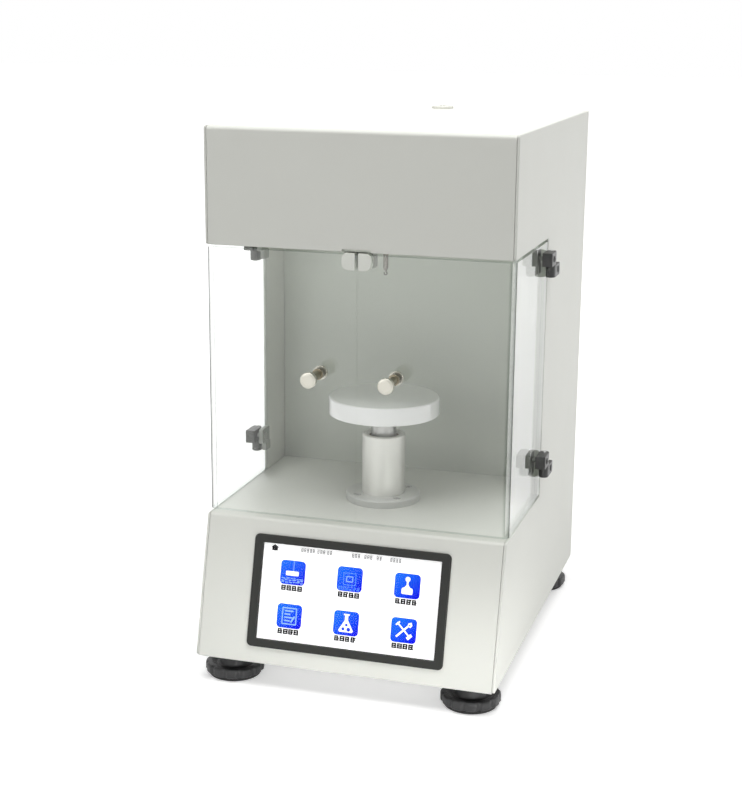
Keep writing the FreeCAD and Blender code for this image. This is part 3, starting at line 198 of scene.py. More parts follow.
GRAIN = make_grain()
TINT = make_tint()
EDGES = make_edges()
HANDLING = make_handling()
STROKES = make_strokes()
RINGS = make_rings()


def place_group(tree, group, **values):
    """Puts a shader group into a tree and returns its outputs."""
    return add_node(tree, "ShaderNodeGroup", values, node_tree=group).outputs


# ---------------------------------------------------------------- materials

EDGE_WEAR = 0.6
PAINT_SMUDGES = 25.0
METAL_SMUDGES = 60.0


def new_material(name, **shader_values):
    """A material with one Principled shader; returns it with its tree and shader."""
    material = bpy.data.materials.new(name)
    material.use_nodes = True
    tree = material.node_tree
    shader = tree.nodes["Principled BSDF"]
    feed(tree, shader, {label.replace("_", " "): value for label, value in shader_values.items()})
    return material, tree, shader


def tinted(tree, colour, drift, mask):
    """A colour that drifts in tone with a mask."""
    return place_group(tree, TINT, Color=colour, Amount=drift, Mask=mask)["Color"]


def smudged(tree, roughness, spread, scale):
    """A roughness that varies in faint clouds."""
    return place_group(tree, HANDLING, Base=roughness, Spread=spread, Scale=scale)["Roughness"]


def dress(tree, shader, base, shine, height, strength, distance, **under):
    """Gives a Principled shader its colour, its shine and bumps, over a normal where there is one."""
    bump = add_node(tree, "ShaderNodeBump",
                    {"Strength": strength, "Distance": distance, "Height": height, **under})
    feed(tree, shader, {"Base Color": base, "Roughness": shine, "Normal": bump.outputs["Normal"]})


def coated(name, colour, grain_size, bump, roughness, spread=0.1, drift=0.03, worn=None, edge=0.0008,
           **shader_values):
    """Paint or moulded plastic: fine grain, slow drift of tone, smudged shine, softened and worn edges."""
    material, tree, shader = new_material(name, **shader_values)
    grain = place_group(tree, GRAIN, Size=grain_size)
    edges = place_group(tree, EDGES, Width=edge)
    base = tinted(tree, shade(*colour), drift, grain["Drift"])
    if worn:
        base = blend(tree, maths(tree, "MULTIPLY", edges["Mask"], EDGE_WEAR), base, shade(*worn))
    shine = smudged(tree, roughness, spread, PAINT_SMUDGES)
    dress(tree, shader, base, shine, grain["Height"], bump, grain_size, Normal=edges["Normal"])
    return material


def brushed(name, colour, stretch, roughness, scale=900.0):
    """Bare metal with straight tool marks."""
    material, tree, shader = new_material(name, Metallic=1.0)
    marks = place_group(tree, STROKES, Stretch=stretch, Scale=scale)["Height"]
    edges = place_group(tree, EDGES, Width=0.0005)
    base = tinted(tree, shade(*colour), 0.12, marks)
    shine = smudged(tree, roughness, 0.15, METAL_SMUDGES)
    dress(tree, shader, base, shine, marks, 0.08, 0.0001, Normal=edges["Normal"])
    return material


def lathed(name, colour, centre, across, roughness, pitch=0.0004, spread=0.12, bump=0.1, metallic=1.0):
    """Turned metal with concentric marks about its own axis."""
    material, tree, shader = new_material(name, Metallic=metallic)
    marks = place_group(tree, RINGS, Centre=centre, Across=across, Pitch=pitch)["Height"]
    base = tinted(tree, shade(*colour), 0.1, marks)
    shine = smudged(tree, roughness, spread, METAL_SMUDGES)
    dress(tree, shader, base, shine, marks, bump, 0.00008)
    return material


def clear(name, colour, roughness, ior, passed, coat=0.9, rim=None):
    """Clear sheet: a polished coat on a body that hardly bends light; shadows pass straight through.
    With a rim colour the sheet is painted darker where it is seen edge-on: painted shade that stands in for
    the dark lines that bent light draws at a bend."""
    material, tree, shader = new_material(name, Base_Color=colour, Roughness=roughness, IOR=ior,
                                          Transmission_Weight=1.0, Coat_Weight=coat, Coat_Roughness=0.01,
                                          Coat_IOR=1.45)
    # Painted shade: the base colour turns to the rim colour where the sheet is seen edge-on.
    if rim:
        facing = add_node(tree, "ShaderNodeLayerWeight", {"Blend": 0.5}).outputs["Facing"]
        feed(tree, shader, {"Base Color": blend(tree, remap(tree, facing, 0.15, 0.65), colour, rim)})
    path = add_node(tree, "ShaderNodeLightPath").outputs
    straight = add_node(tree, "ShaderNodeBsdfTransparent", {"Color": passed})
    unseen = maths(tree, "MAXIMUM", path["Is Shadow Ray"], path["Is Diffuse Ray"])
    mix = add_node(tree, "ShaderNodeMixShader", {"Fac": unseen, 1: shader.outputs[0], 2: straight.outputs[0]})
    feed(tree, tree.nodes["Material Output"], {"Surface": mix.outputs[0]})
    return material


def lit(name, colour, strength):
    """Screen surface that glows; the glow is a little uneven, as behind a diffuser."""
    material, tree, shader = new_material(name, Roughness=0.35, Emission_Strength=strength,
                                          Specular_IOR_Level=0.1)
    glow = tinted(tree, colour, 0.03, place_group(tree, GRAIN, Size=0.02)["Drift"])
    feed(tree, shader, {"Base Color": glow, "Emission Color": glow})
    return material


def icon_blue():
    """Tile blue that deepens from the upper left to the lower right of each tile."""
    material, tree, shader = new_material("icon_blue", Roughness=0.35, Emission_Strength=0.2,
                                          Specular_IOR_Level=0.1)
    place = add_node(tree, "ShaderNodeUVMap", uv_map="tile").outputs["UV"]
    parts = add_node(tree, "ShaderNodeSeparateXYZ", {0: place}).outputs
    slope = maths(tree, "SUBTRACT", parts["X"], parts["Y"])
    ramp = add_node(tree, "ShaderNodeValToRGB", {"Fac": remap(tree, slope, -1.0, 1.0)})
    for stop, position, colour in zip(ramp.color_ramp.elements, (0.12, 0.9), ((18, 104, 246), (0, 8, 216))):
        stop.position = position
        stop.color = shade(*colour)
    feed(tree, shader, {"Base Color": ramp.outputs["Color"], "Emission Color": ramp.outputs["Color"]})
    return material


def centre_of(node):
    low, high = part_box(node)
    return (low + high) / 2


STAGE_AXIS = centre_of("platform_disc")
LIFT_LINE = (0, STAGE_AXIS.y, 0)
ABOUT_Z = (1.0, 1.0, 0.0)
ABOUT_Y = (1.0, 0.0, 1.0)

finishes = {}


def keep(maker, name, *look, **more):
    """Makes a finish and keeps it under the name of the slot that it fills."""
    finishes[name] = maker(name, *look, **more)


# name, display colour, grain size, bump, roughness, spread of roughness, drift of tone
keep(coated, "cabinet_paint", (221, 222, 215), 0.0005, 0.05, 0.46, 0.12, 0.02, worn=(230, 231, 226))
# The chamber's paint is the cabinet's white made a little darker: painted shade for the inside of the
# chamber.
keep(coated, "chamber_paint", (212, 216, 207), 0.0005, 0.02, 0.45, 0.12, 0.03)
keep(coated, "rear_paint", (226, 226, 222), 0.0007, 0.12, 0.5, 0.12, 0.03, worn=(238, 238, 234))
keep(coated, "bezel_plastic", (38, 39, 36), 0.0005, 0.2, 0.5, 0.1, 0.05, worn=(72, 73, 70), edge=0.0005,
     Specular_IOR_Level=0.3)
keep(coated, "screen_module", (70, 71, 72), 0.001, 0.1, 0.4, 0.1, 0.05)
keep(coated, "flange_metal", (208, 209, 204), 0.0004, 0.08, 0.36, 0.1, 0.05)
keep(coated, "platform_metal", (253, 253, 251), 0.0004, 0.03, 0.36, 0.1, 0.02, worn=(253, 253, 252),
     Coat_Weight=1.0, Coat_Roughness=0.12, Coat_IOR=1.6)
keep(coated, "motor_black", (38, 38, 38), 0.0008, 0.3, 0.4, 0.1, worn=(80, 80, 80))
keep(coated, "strike_nickel", (230, 232, 224), 0.0005, 0.08, 0.42, 0.1, 0.03, worn=(244, 245, 240))
keep(coated, "hinge_black", (40, 40, 39), 0.0005, 0.25, 0.36, 0.12, 0.1, worn=(92, 92, 89), edge=0.0006)
keep(coated, "catch_grey", (150, 151, 145), 0.0006, 0.2, 0.5, 0.1, worn=(178, 179, 172))
keep(coated, "pad_rubber", (30, 30, 30), 0.0007, 0.5, 0.7, 0.15, 0.2, worn=(54, 54, 53))
keep(coated, "foot_black", (34, 34, 35), 0.0006, 0.35, 0.4, 0.15, 0.15, worn=(86, 86, 86))
keep(coated, "level_plastic", (240, 240, 232), 0.0005, 0.12, 0.36, 0.1, worn=(250, 250, 246))
keep(coated, "fitting_black", (34, 34, 34), 0.0006, 0.3, 0.4, 0.1, 0.1, worn=(74, 74, 74))
keep(coated, "socket_grey", (110, 111, 112), 0.0006, 0.25, 0.45, 0.1, 0.1, worn=(140, 141, 142))
keep(coated, "rocker_plastic", (26, 26, 26), 0.0006, 0.12, 0.25, 0.1, 0.1, worn=(58, 58, 58))
keep(coated, "board_green", (26, 92, 52), 0.0008, 0.12, 0.35, 0.1, 0.1, worn=(46, 112, 70))
# name, display colour, stretch of the marks, roughness
keep(brushed, "chassis_sheet", (190, 190, 188), (1, 14, 1), 0.35, scale=260.0)
keep(brushed, "screw_steel", (196, 196, 194), (1, 1, 1), 0.28, scale=1500.0)
keep(brushed, "shaft_steel", (150, 150, 147), (1, 1, 22), 0.3, scale=500.0)
keep(brushed, "carriage_metal", (190, 190, 190), (14, 1, 1), 0.35)
keep(brushed, "rod_steel", (180, 180, 180), (1, 1, 18), 0.2)
keep(brushed, "cell_metal", (190, 190, 190), (14, 1, 1), 0.35)
keep(brushed, "hook_steel", (118, 116, 110), (1, 1, 12), 0.3)
keep(brushed, "magnet_nickel", (190, 190, 188), (1, 1, 1), 0.2)
keep(brushed, "pin_brass", (205, 178, 110), (1, 14, 1), 0.25)
keep(brushed, "supply_metal", (186, 186, 186), (1, 10, 1), 0.4)
# name, display colour, point on the axis, across the axis, roughness
keep(lathed, "sleeve_metal", (214, 214, 208), LIFT_LINE, (1, 1, 1), 0.46, 0.0006, metallic=0.55)
keep(lathed, "bushing_bronze", (112, 96, 70), LIFT_LINE, ABOUT_Z, 0.4)
# name, colour, roughness, bending of light, colour that shadows let through, coat
keep(clear, "screen_glass", (1, 1, 1, 1), 0.0, 1.0, (1, 1, 1, 1), 0.12)
keep(clear, "door_acrylic", (0.997, 1.0, 0.998, 1), 0.0, 1.0, (0.99, 1.0, 0.995, 1))

THICK_ACRYLIC = (0.9, 0.92, 0.91, 1)
polished_edge = clear("acrylic_edge", shade(200, 206, 203), 0.0, 1.0, THICK_ACRYLIC, 0.4)
# The bend's near-black rim colour is painted shade where the sheet is seen edge-on, in place of the dark
# lines along the bend.
acrylic_bend_painted_shade = clear("acrylic_bend_painted_shade", shade(240, 243, 241), 0.0, 1.0, THICK_ACRYLIC, 0.1, shade(36, 38, 37))
level_fluid = clear("level_fluid", shade(214, 228, 120), 0.02, 1.3, shade(226, 236, 150))
jaw_grey = coated("jaw_grey", (148, 151, 143), 0.0005, 0.2, 0.4, 0.12, 0.06, worn=(180, 182, 176))
screen_white = lit("screen_white", (1, 1, 1, 1), 0.45)
glyph_white = lit("glyph_white", (1, 1, 1, 1), 0.3)
glyph_pale = lit("glyph_pale", shade(130, 172, 250), 0.35)
glyph_faint = lit("glyph_faint", shade(66, 126, 250), 0.35)
ink_dark = lit("ink_dark", shade(30, 30, 33), 0.02)
ink_grey = lit("ink_grey", shade(118, 118, 120), 0.1)
tile_blue = icon_blue()


def knob_part_finish(name, side, node, colour, roughness, bump=0.14):
    """Turned metal about the axis of one door's knob or nut."""
    return lathed(name + "_" + side, colour, centre_of(side + node), ABOUT_Y, roughness, 0.0003, 0.1, bump)


# ---------------------------------------------------------------- making shapes (sizes in millimetres)

def mm(x, y, z):
    return Vector((x * MM, y * MM, z * MM))


def span(node):
    """Lowest and highest corner of a CAD node in millimetres."""
    low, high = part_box(node)
    return low / MM, high / MM


def middle_of(low, high):
    """Middle of a box, as three numbers."""
    return (low.x + high.x) / 2, (low.y + high.y) / 2, (low.z + high.z) / 2


def into_scene(name, data):
    made = bpy.data.objects.new(name, data)
    bpy.context.scene.collection.objects.link(made)
    return made


def baked(item):
    """Mesh of an object with its modifiers applied."""
    return bpy.data.meshes.new_from_object(item.evaluated_get(bpy.context.evaluated_depsgraph_get()))


def settle(mesh, name, body, slot, stands_for, materials=None, sharp=32):
    """Wraps a finished mesh as a piece that rides on a body."""
    for material in materials or [finishes[slot]]:
        mesh.materials.append(material)
    mesh.shade_smooth()
    mesh.set_sharp_from_angle(angle=math.radians(sharp))
    made = into_scene(name, mesh)
    flat = made.modifiers.new("flat_faces", "WEIGHTED_NORMAL")
    flat.weight = 100
    flat.keep_sharp = True
    made.data = baked(made)
    made.modifiers.clear()
    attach(made, body)
    if stands_for:
        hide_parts(*stands_for)
    return made


def sort_faces(work):
    """Puts the faces in the order of their corners, because rounded edges come in no fixed order."""
    work.verts.index_update()
    count = len(work.verts)

    def rank(face):
        first, second, third = [corner.index for corner in face.verts][:3]
        return (first * count + second) * count + third
    work.faces.sort(key=rank)


def piece_from(work, name, body, slot, stands_for=(), materials=None, sharp=32):
    """Finished piece from a bmesh that was built in millimetres."""
    bmesh.ops.remove_doubles(work, verts=work.verts, dist=0.0005)
    bmesh.ops.recalc_face_normals(work, faces=work.faces)
    bmesh.ops.scale(work, vec=(MM, MM, MM), verts=work.verts)
    sort_faces(work)
    mesh = bpy.data.meshes.new(name)
    work.to_mesh(mesh)
    work.free()
    return settle(mesh, name, body, slot, stands_for, materials, sharp)


def rounded_profile(corners, steps=4):
    """Points of an open line whose corners, given as (a, b, radius), are rounded."""
    points = []
    count = len(corners)
    for index, (a, b, radius) in enumerate(corners):
        here = Vector((a, b))
        if radius <= 0 or index in (0, count - 1):
            points.append(here)
            continue
        before = Vector(corners[index - 1][:2]) - here
        after = Vector(corners[index + 1][:2]) - here
        half = before.angle(after) / 2
        reach = min(radius / math.tan(half), 0.48 * before.length, 0.48 * after.length)
        fitted = reach * math.tan(half)
        centre = here + (before.normalized() + after.normalized()).normalized() * (fitted / math.sin(half))
        start = here + before.normalized() * reach - centre
        end = here + after.normalized() * reach - centre
        turn = start.angle_signed(end)
        for step in range(steps + 1):
            spin = Matrix.Rotation(-turn * step / steps, 2)
            points.append(centre + spin @ start)
    return points


def add_rings(work, rings, closed_ends):
    """Skin over rings of equal counts; a ring of one point closes to a pole."""
    made = [[work.verts.new(point) for point in ring] for ring in rings]
    for lower, upper in zip(made, made[1:]):
        count = max(len(lower), len(upper))
        for index in range(count):
            following = (index + 1) % count
            if len(lower) == 1:
                work.faces.new((lower[0], upper[following], upper[index]))
            elif len(upper) == 1:
                work.faces.new((lower[index], lower[following], upper[0]))
            else:
                work.faces.new((lower[index], lower[following], upper[following], upper[index]))
    if closed_ends:
        for ring in (made[0], made[-1]):
            if len(ring) > 2:
                work.faces.new(ring)


AXES = {"z": Matrix.Identity(3), "y": Matrix(((1, 0, 0), (0, 0, 1), (0, -1, 0))),
        "x": Matrix(((0, 0, 1), (0, 1, 0), (-1, 0, 0))), "-x": Matrix(((0, 0, -1), (0, 1, 0), (1, 0, 0)))}


def add_turned(work, corners, centre, along="z", segments=96, lobes=None, loop=False):
    """Turned shape from (radius, height, rounding) corners about an axis through a point.

    Lobes, given as (count, depth, inner radius), press hollows into everything outside the inner radius.
    """
    profile = rounded_profile(corners)
    if loop:
        profile.append(profile[0])
    rings = []
    for radius, height in profile:
        if radius < 1e-6:
            rings.append([Vector(centre) + AXES[along] @ Vector((0, 0, height))])
            continue
        ring = []
        for index in range(segments):
            angle = 2 * math.pi * index / segments
            reach = radius
            if lobes and radius > lobes[2]:
                hollow = max(0.0, math.cos(lobes[0] * angle)) ** 2
                reach -= lobes[1] * hollow * min(1.0, (radius - lobes[2]) / 3)
            spot = Vector((reach * math.cos(angle), reach * math.sin(angle), height))
            ring.append(Vector(centre) + AXES[along] @ spot)
        rings.append(ring)
    add_rings(work, rings, closed_ends=not loop)


def rod(radius, height, low_edge=0.0, high_edge=0.0):
    """Corners of a plain round rod or disc, for turning."""
    return [(0, 0, 0), (radius, 0, low_edge), (radius, height, high_edge), (0, height, 0)]


def turned_piece(name, corners, centre, body, slot, stands_for=(), along="z", segments=96, lobes=None,
                 loop=False, materials=None):
    """Finished piece that is one turned shape."""
    work = bmesh.new()
    add_turned(work, corners, centre, along, segments, lobes, loop)
    return piece_from(work, name, body, slot, stands_for, materials)


def arc(centre, radius, start, end, steps):
    """Points on an arc, angles in degrees."""
    points = []
    for step in range(steps + 1):
        angle = math.radians(start + (end - start) * step / steps)
        points.append((centre[0] + radius * math.cos(angle), centre[1] + radius * math.sin(angle)))
    return points


def rounded_outline(corners, steps):
    """Closed outline whose corners, given as (a, b, radius), are rounded."""
    looped = [corners[-1]] + list(corners) + [corners[0]]
    points = []
    for index in range(1, len(looped) - 1):
        part = rounded_profile(looped[index - 1:index + 2], steps)
        points.extend(part[1:-1])
    return [(point.x, point.y) for point in points]


def bar(x0, y0, x1, y1):
    """Outline of a rectangle."""
    return [(x0, y0), (x1, y0), (x1, y1), (x0, y1)]


def rounded_bar(x0, y0, x1, y1, radius, steps):
    return rounded_outline([(x, y, radius) for x, y in bar(x0, y0, x1, y1)], steps)


PLANES = {"z": lambda a, b, level: Vector((a, b, level)), "x": lambda a, b, level: Vector((level, a, b)),
          "y": lambda a, b, level: Vector((a, level, b))}


# An edge between faces that turn by more than this is rounded.
PLATE_CORNER = math.radians(30)
CAD_CORNER = math.radians(35)


def round_edges(work, edges, width, steps, clamp):
    bmesh.ops.bevel(work, geom=edges, offset=width, offset_type="OFFSET", segments=steps, profile=0.5,
                    affect="EDGES", clamp_overlap=clamp)


def add_plate(work, outline, low, high, along="z", edge=0.0, steps=2):
    """Plate with the outline's shape between two levels of an axis, its edges rounded."""
    place = PLANES[along]
    bottom = [work.verts.new(place(a, b, low)) for a, b in outline]
    top = [work.verts.new(place(a, b, high)) for a, b in outline]
    faces = [work.faces.new(bottom), work.faces.new(top)]
    for index in range(len(outline)):
        following = (index + 1) % len(outline)
        faces.append(work.faces.new((bottom[index], bottom[following], top[following], top[index])))
    bmesh.ops.recalc_face_normals(work, faces=faces)
    if edge > 0:
        edges = dict.fromkeys(side for face in faces for side in face.edges)
        sharp = [side for side in edges if side.calc_face_angle(0) > PLATE_CORNER]
        round_edges(work, sharp, edge, steps, False)


def softened(node, name, body, slot, edge):
    """Merged copy of a CAD node with its sharp edges rounded."""
    work = bmesh.new()
    work.from_mesh(nodes[node].data)
    bmesh.ops.scale(work, vec=(1 / MM, 1 / MM, 1 / MM), verts=work.verts)
    bmesh.ops.remove_doubles(work, verts=work.verts, dist=0.002)
    bmesh.ops.dissolve_limit(work, angle_limit=math.radians(1), verts=work.verts, edges=work.edges)
    sharp = [side for side in work.edges if side.is_manifold and side.calc_face_angle(0) > CAD_CORNER]
    round_edges(work, sharp, edge, 3, True)
    return piece_from(work, name, body, slot, (node,))


def add_tube(work, path, radius, segments=16):
    """Round wire along a line of points, with rounded ends."""
    rings = [[path[0] - (path[1] - path[0]).normalized() * radius]]
    count = len(path)
    side = None
    for index, point in enumerate(path):
        ahead = (path[min(index + 1, count - 1)] - path[max(index - 1, 0)]).normalized()
        if side is None:
            side = ahead.orthogonal().normalized()
        side = (side - ahead * side.dot(ahead)).normalized()
        other = ahead.cross(side)
        rings.append([point + (side * math.cos(turn) + other * math.sin(turn)) * radius
                      for turn in (2 * math.pi * step / segments for step in range(segments))])
    rings.append([path[-1] + (path[-1] - path[-2]).normalized() * radius])
    add_rings(work, rings, closed_ends=False)


# ---------------------------------------------------------------- screws, repeated by one node tree

def screw_tree():
    """Geometry nodes: copies of a screw on a grid of rows and columns, each turned a little differently."""
    tree = bpy.data.node_groups.new("screw_rows", "GeometryNodeTree")
    for label, kind in (("Screw", "Geometry"), ("Columns", "Int"), ("Rows", "Int"), ("Start", "Vector"),
                        ("Column step", "Vector"), ("Row step", "Vector"), ("Turn axis", "Vector"),
                        ("Seed", "Int"), ("Finish", "Material")):
        tree.interface.new_socket(name=label, in_out="INPUT", socket_type="NodeSocket" + kind)
    tree.interface.new_socket(name="Screws", in_out="OUTPUT", socket_type="NodeSocketGeometry")
    entry = tree.nodes.new("NodeGroupInput").outputs
    leave = tree.nodes.new("NodeGroupOutput")
    total = maths(tree, "MULTIPLY", entry["Columns"], entry["Rows"])
    points = add_node(tree, "GeometryNodePoints", {"Count": total}).outputs[0]
    number = tree.nodes.new("GeometryNodeInputIndex").outputs[0]
    row = maths(tree, "FLOOR", maths(tree, "DIVIDE", number, entry["Columns"]))
    column = maths(tree, "MODULO", number, entry["Columns"])
    on_grid = vector_maths(tree, "ADD", scaled(tree, entry["Row step"], row),
                           scaled(tree, entry["Column step"], column))
    spot = vector_maths(tree, "ADD", on_grid, entry["Start"])
    moved = add_node(tree, "GeometryNodeSetPosition", {"Geometry": points, "Position": spot}).outputs[0]
    chance = add_node(tree, "FunctionNodeRandomValue", {"Seed": entry["Seed"]}, data_type="FLOAT").outputs[1]
    turn = scaled(tree, scaled(tree, entry["Turn axis"], math.pi / 2), chance)
    copies = add_node(tree, "GeometryNodeInstanceOnPoints",
                      {"Points": moved, "Instance": entry["Screw"], "Rotation": turn}).outputs[0]
    solid = add_node(tree, "GeometryNodeRealizeInstances", {0: copies}).outputs[0]
    painted = add_node(tree, "GeometryNodeSetMaterial", {"Geometry": solid, "Material": entry["Finish"]})
    feed(tree, leave, {"Screws": painted.outputs[0]})
    return tree


SCREW_ROWS = screw_tree()


def carved(work, tool):
    """Solid with a tool cut away from it, as a mesh; both come as bmeshes."""
    held = []
    for label, shape in (("blank", work), ("cutter", tool)):
        bmesh.ops.recalc_face_normals(shape, faces=shape.faces)
        mesh = bpy.data.meshes.new(label)
        shape.to_mesh(mesh)
        shape.free()
        held.append(into_scene(label, mesh))
    blank, cutter = held
    cut = blank.modifiers.new("cut", "BOOLEAN")
    cut.operation = "DIFFERENCE"
    cut.solver = "EXACT"
    cut.object = cutter
    result = baked(blank)
    for item in held:
        bpy.data.objects.remove(item)
    return result


def screw_head(radius, height, recess, along, outward):
    """Pan head with a cross or hexagon recess, its seat at the origin, pointing outward along an axis."""
    work = bmesh.new()
    add_turned(work, [(0, 0, 0), (radius, 0, 0), (radius, height * 0.55, radius * 0.15),
                      (radius * 0.72, height, radius * 0.2), (0, height, 0)], (0, 0, 0), segments=32)
    tool = bmesh.new()
    depth = height * 0.4
    if recess == "cross":
        for x, y in ((radius * 0.52, radius * 0.12), (radius * 0.12, radius * 0.52)):
            add_plate(tool, bar(-x, -y, x, y), depth, height * 2)
    else:
        add_plate(tool, arc((0, 0), radius * 0.5, 0, 300, 5), depth, height * 2)
    mesh = carved(work, tool)
    towards = AXES[along] @ Matrix.Diagonal((outward, 1, outward))
    mesh.transform((towards * MM).to_4x4())
    return mesh


def screw_rows(name, head, columns, rows, start, column_step, row_step, turn_axis, body, slot, stands_for=(),
               seed=3):
    """Screws of one kind on a grid, made by the node tree and kept as a plain mesh."""
    maker = into_scene(name + "_maker", head)
    modifier = maker.modifiers.new("rows", "NODES")
    modifier.node_group = SCREW_ROWS
    values = {"Columns": columns, "Rows": rows, "Start": mm(*start), "Column step": mm(*column_step),
              "Row step": mm(*row_step), "Turn axis": Vector(turn_axis), "Seed": seed,
              "Finish": finishes[slot]}
    for socket in SCREW_ROWS.interface.items_tree:
        if socket.name in values:
            modifier[socket.identifier] = values[socket.name]
    mesh = baked(maker)
    bpy.data.objects.remove(maker)
    mesh.materials.clear()
    return settle(mesh, name, body, slot, stands_for)


# ---------------------------------------------------------------- cabinet sheets and inside parts

slot_of = {entry["node"]: entry["material_slot"] for entry in frame["record"]["subparts"]}
for node_name, node_piece in nodes.items():
    for held_slot in node_piece.material_slots:
        held_slot.material = finishes.get(slot_of[node_name]) or finishes["strike_nickel"]


# ---------------------------------------------------------------- sample lift and hanger

def sample_lift():
    """Platform on its shaft, with the sleeve, bushings and screwed ring that guide it."""
    axis_y = STAGE_AXIS.y / MM
    low, high = span("platform_disc")
    turned_piece("sample_platform", rod((high.x - low.x) / 2, high.z - low.z, 1.3, 1.6), (0, axis_y, low.z),
                 "stage", "platform_metal", ("platform_disc",), segments=160)
    low, high = span("stage_shaft")
    turned_piece("lift_shaft", rod((high.x - low.x) / 2, high.z - low.z, 0.5, 0.4), (0, axis_y, low.z),
                 "stage", "shaft_steel", ("stage_shaft",))
    low, high = span("stage_sleeve")
    radius = (high.x - low.x) / 2
    bore = 13.0
    height = high.z - low.z
    outline = [(bore, 0, 0), (radius, 0, 0.5), (radius, height, 1.4), (bore + 1.6, height, 0.3),
               (bore, height - 1.6, 0.2), (bore, height / 2, 0)]
    turned_piece("lift_sleeve", outline, (0, axis_y, low.z), "cabinet", "sleeve_metal", ("stage_sleeve",),
                 loop=True)
    softened("stage_flange", "lift_flange", "cabinet", "flange_metal", 0.5)
    low, high = span("stage_bushings")
    length = 14.0
    shaft = 10.8
    lip = 0.5
    set_back = 2.2
    work = bmesh.new()
    for level in (low.z, high.z - length):
        add_turned(work, [(shaft, lip, 0), (shaft + lip, 0, 0), (bore - 0.02, 0, 0),
                          (bore - 0.02, length - set_back, 0.2), (shaft + 0.8, length - set_back, 0.2),
                          (shaft, length - set_back - 0.8, 0.2), (shaft, length / 2, 0)],
                   (0, axis_y, level), loop=True)
    piece_from(work, "shaft_bearings", "cabinet", slot_of["stage_bushings"], ("stage_bushings",))
    cap = screw_head(2.9, 2.6, "hexagon", "z", 1)
    low, high = span("stage_screws")
    edge_to_screw = 3.0
    seat_drop = 2.7
    reach_x = (high.x - low.x) / 2 - edge_to_screw
    reach_y = (high.y - low.y) / 2 - edge_to_screw
    start = (-reach_x, axis_y - reach_y, high.z - seat_drop)
    screw_rows("flange_screws", cap, 2, 2, start, (2 * reach_x, 0, 0), (0, 2 * reach_y, 0), (0, 0, 1),
               "cabinet", "screw_steel", ("stage_screws",))


def hanger():
    """Hanger rod with a tapered end and the wire hook that carries a ring or plate."""
    low, high = span("suspension_hook")
    axis_y = (low.y + high.y) / 2
    radius = (high.x - low.x) / 2
    wire_radius = 0.5
    ring = 1.25
    taper = 3.5
    rod_low = low.z + 2 * (ring + wire_radius) - wire_radius
    work = bmesh.new()
    add_turned(work, [(0, 0, 0), (0.7, 0, 0.3), (radius, taper, 0.6), (radius, high.z - rod_low, 0),
                      (0, high.z - rod_low, 0)], (0, axis_y, rod_low), segments=48)
    middle = Vector((0, axis_y, low.z + ring + wire_radius))
    bow = [middle + Vector((ring * math.cos(turn), 0, ring * math.sin(turn)))
           for turn in (math.radians(90 - 300 * step / 30) for step in range(31))]
    add_tube(work, bow, wire_radius)
    piece_from(work, "probe_hook", "cabinet", "hook_steel", ("suspension_hook",))


sample_lift()
hanger()


# ---------------------------------------------------------------- doors

HINGE_RADIUS = 4.2
CLAMP_HEIGHT = 11.5
LEAF_HEIGHT = 10.5
LEAF_GAP = 0.3
LEAF_FRONT = -7.45
LEAF_SCREW = 6.5
PANEL_FACE = 128.0
SHEET = 4.0
PIN_HEAD = 0.5


def mirrored(outline, sign):
    """Outline for the right side, or turned over for the left."""
    return [(sign * a, b) for a, b in outline]


def across(low, high):
    """Nearest and farthest distance of a door piece from the middle of the cabinet."""
    return min(abs(low.x), abs(high.x)), max(abs(low.x), abs(high.x))


def door_pane(side, sign):
    """Bent clear sheet with polished edges."""
    low, high = span(side + "_door_pane")
    seam, outer = across(low, high)
    bend = 5.0
    rim = 0.3
    outline = rounded_outline([(seam, low.y, 0), (outer, low.y, bend), (outer, high.y, 0),
                               (outer - SHEET, high.y, 0), (outer - SHEET, low.y + SHEET, 1.0),
                               (seam, low.y + SHEET, 0)], 12)
    work = bmesh.new()
    add_plate(work, mirrored(outline, sign), low.z, high.z, "z", 0.25, 2)
    for face in work.faces:
        spot = face.calc_center_median()
        in_bend = abs(spot.x) > outer - bend and spot.y < low.y + bend
        if spot.z < low.z + rim or spot.z > high.z - rim:
            face.material_index = 1
        # The bend and the rear edge take the finish with the painted edge-on shade.
        elif in_bend or spot.y > high.y - rim:
            face.material_index = 2
    piece_from(work, side + "_pane", side + "_door", "door_acrylic", (side + "_door_pane",),
               [finishes["door_acrylic"], polished_edge, acrylic_bend_painted_shade])


def door_knob(side):
    """Turned pull with a bright head and a neck painted darker as painted shade, and its nut inside the door.
    """
    low, high = span(side + "_door_knob")
    x, _, z = middle_of(low, high)
    head_end = 5.0
    # The neck is the head's metal in a darker colour: painted shade for the shaded neck behind the head.
    looks = [knob_part_finish("knob_metal", side, "_door_knob", (186, 184, 174), 0.3),
             knob_part_finish("knob_neck", side, "_door_knob", (126, 120, 104), 0.34)]
    corners = [(0, 0, 0), (4.6, 0, 0.5), (6.5, 0.5, 0.5), (6.5, 4.6, 0.5), (3.2, 9.6, 1.0), (3.2, 24, 0.2),
               (4.6, 24, 0.3), (4.6, 26, 0), (1.9, 26, 0), (1.9, 30, 0), (0, 30, 0)]
    knob = turned_piece(side + "_knob", corners, (x, low.y, z), side + "_door", "knob_metal",
                        (side + "_door_knob",), "y", materials=looks)
    # Faces behind the head take the darker, painted-shade neck finish.
    for face in knob.data.polygons:
        face.material_index = int(face.center.y > (low.y + head_end) * MM)
    low, high = span(side + "_knob_nut")
    look = knob_part_finish("nut_metal", side, "_knob_nut", (170, 168, 158), 0.34, 0.1)
    turned_piece(side + "_nut", rod(6.0, 3.5, 0.3, 1.0), (x, low.y, z), side + "_door", "nut_metal",
                 (side + "_knob_nut",), "y", 64, materials=[look])


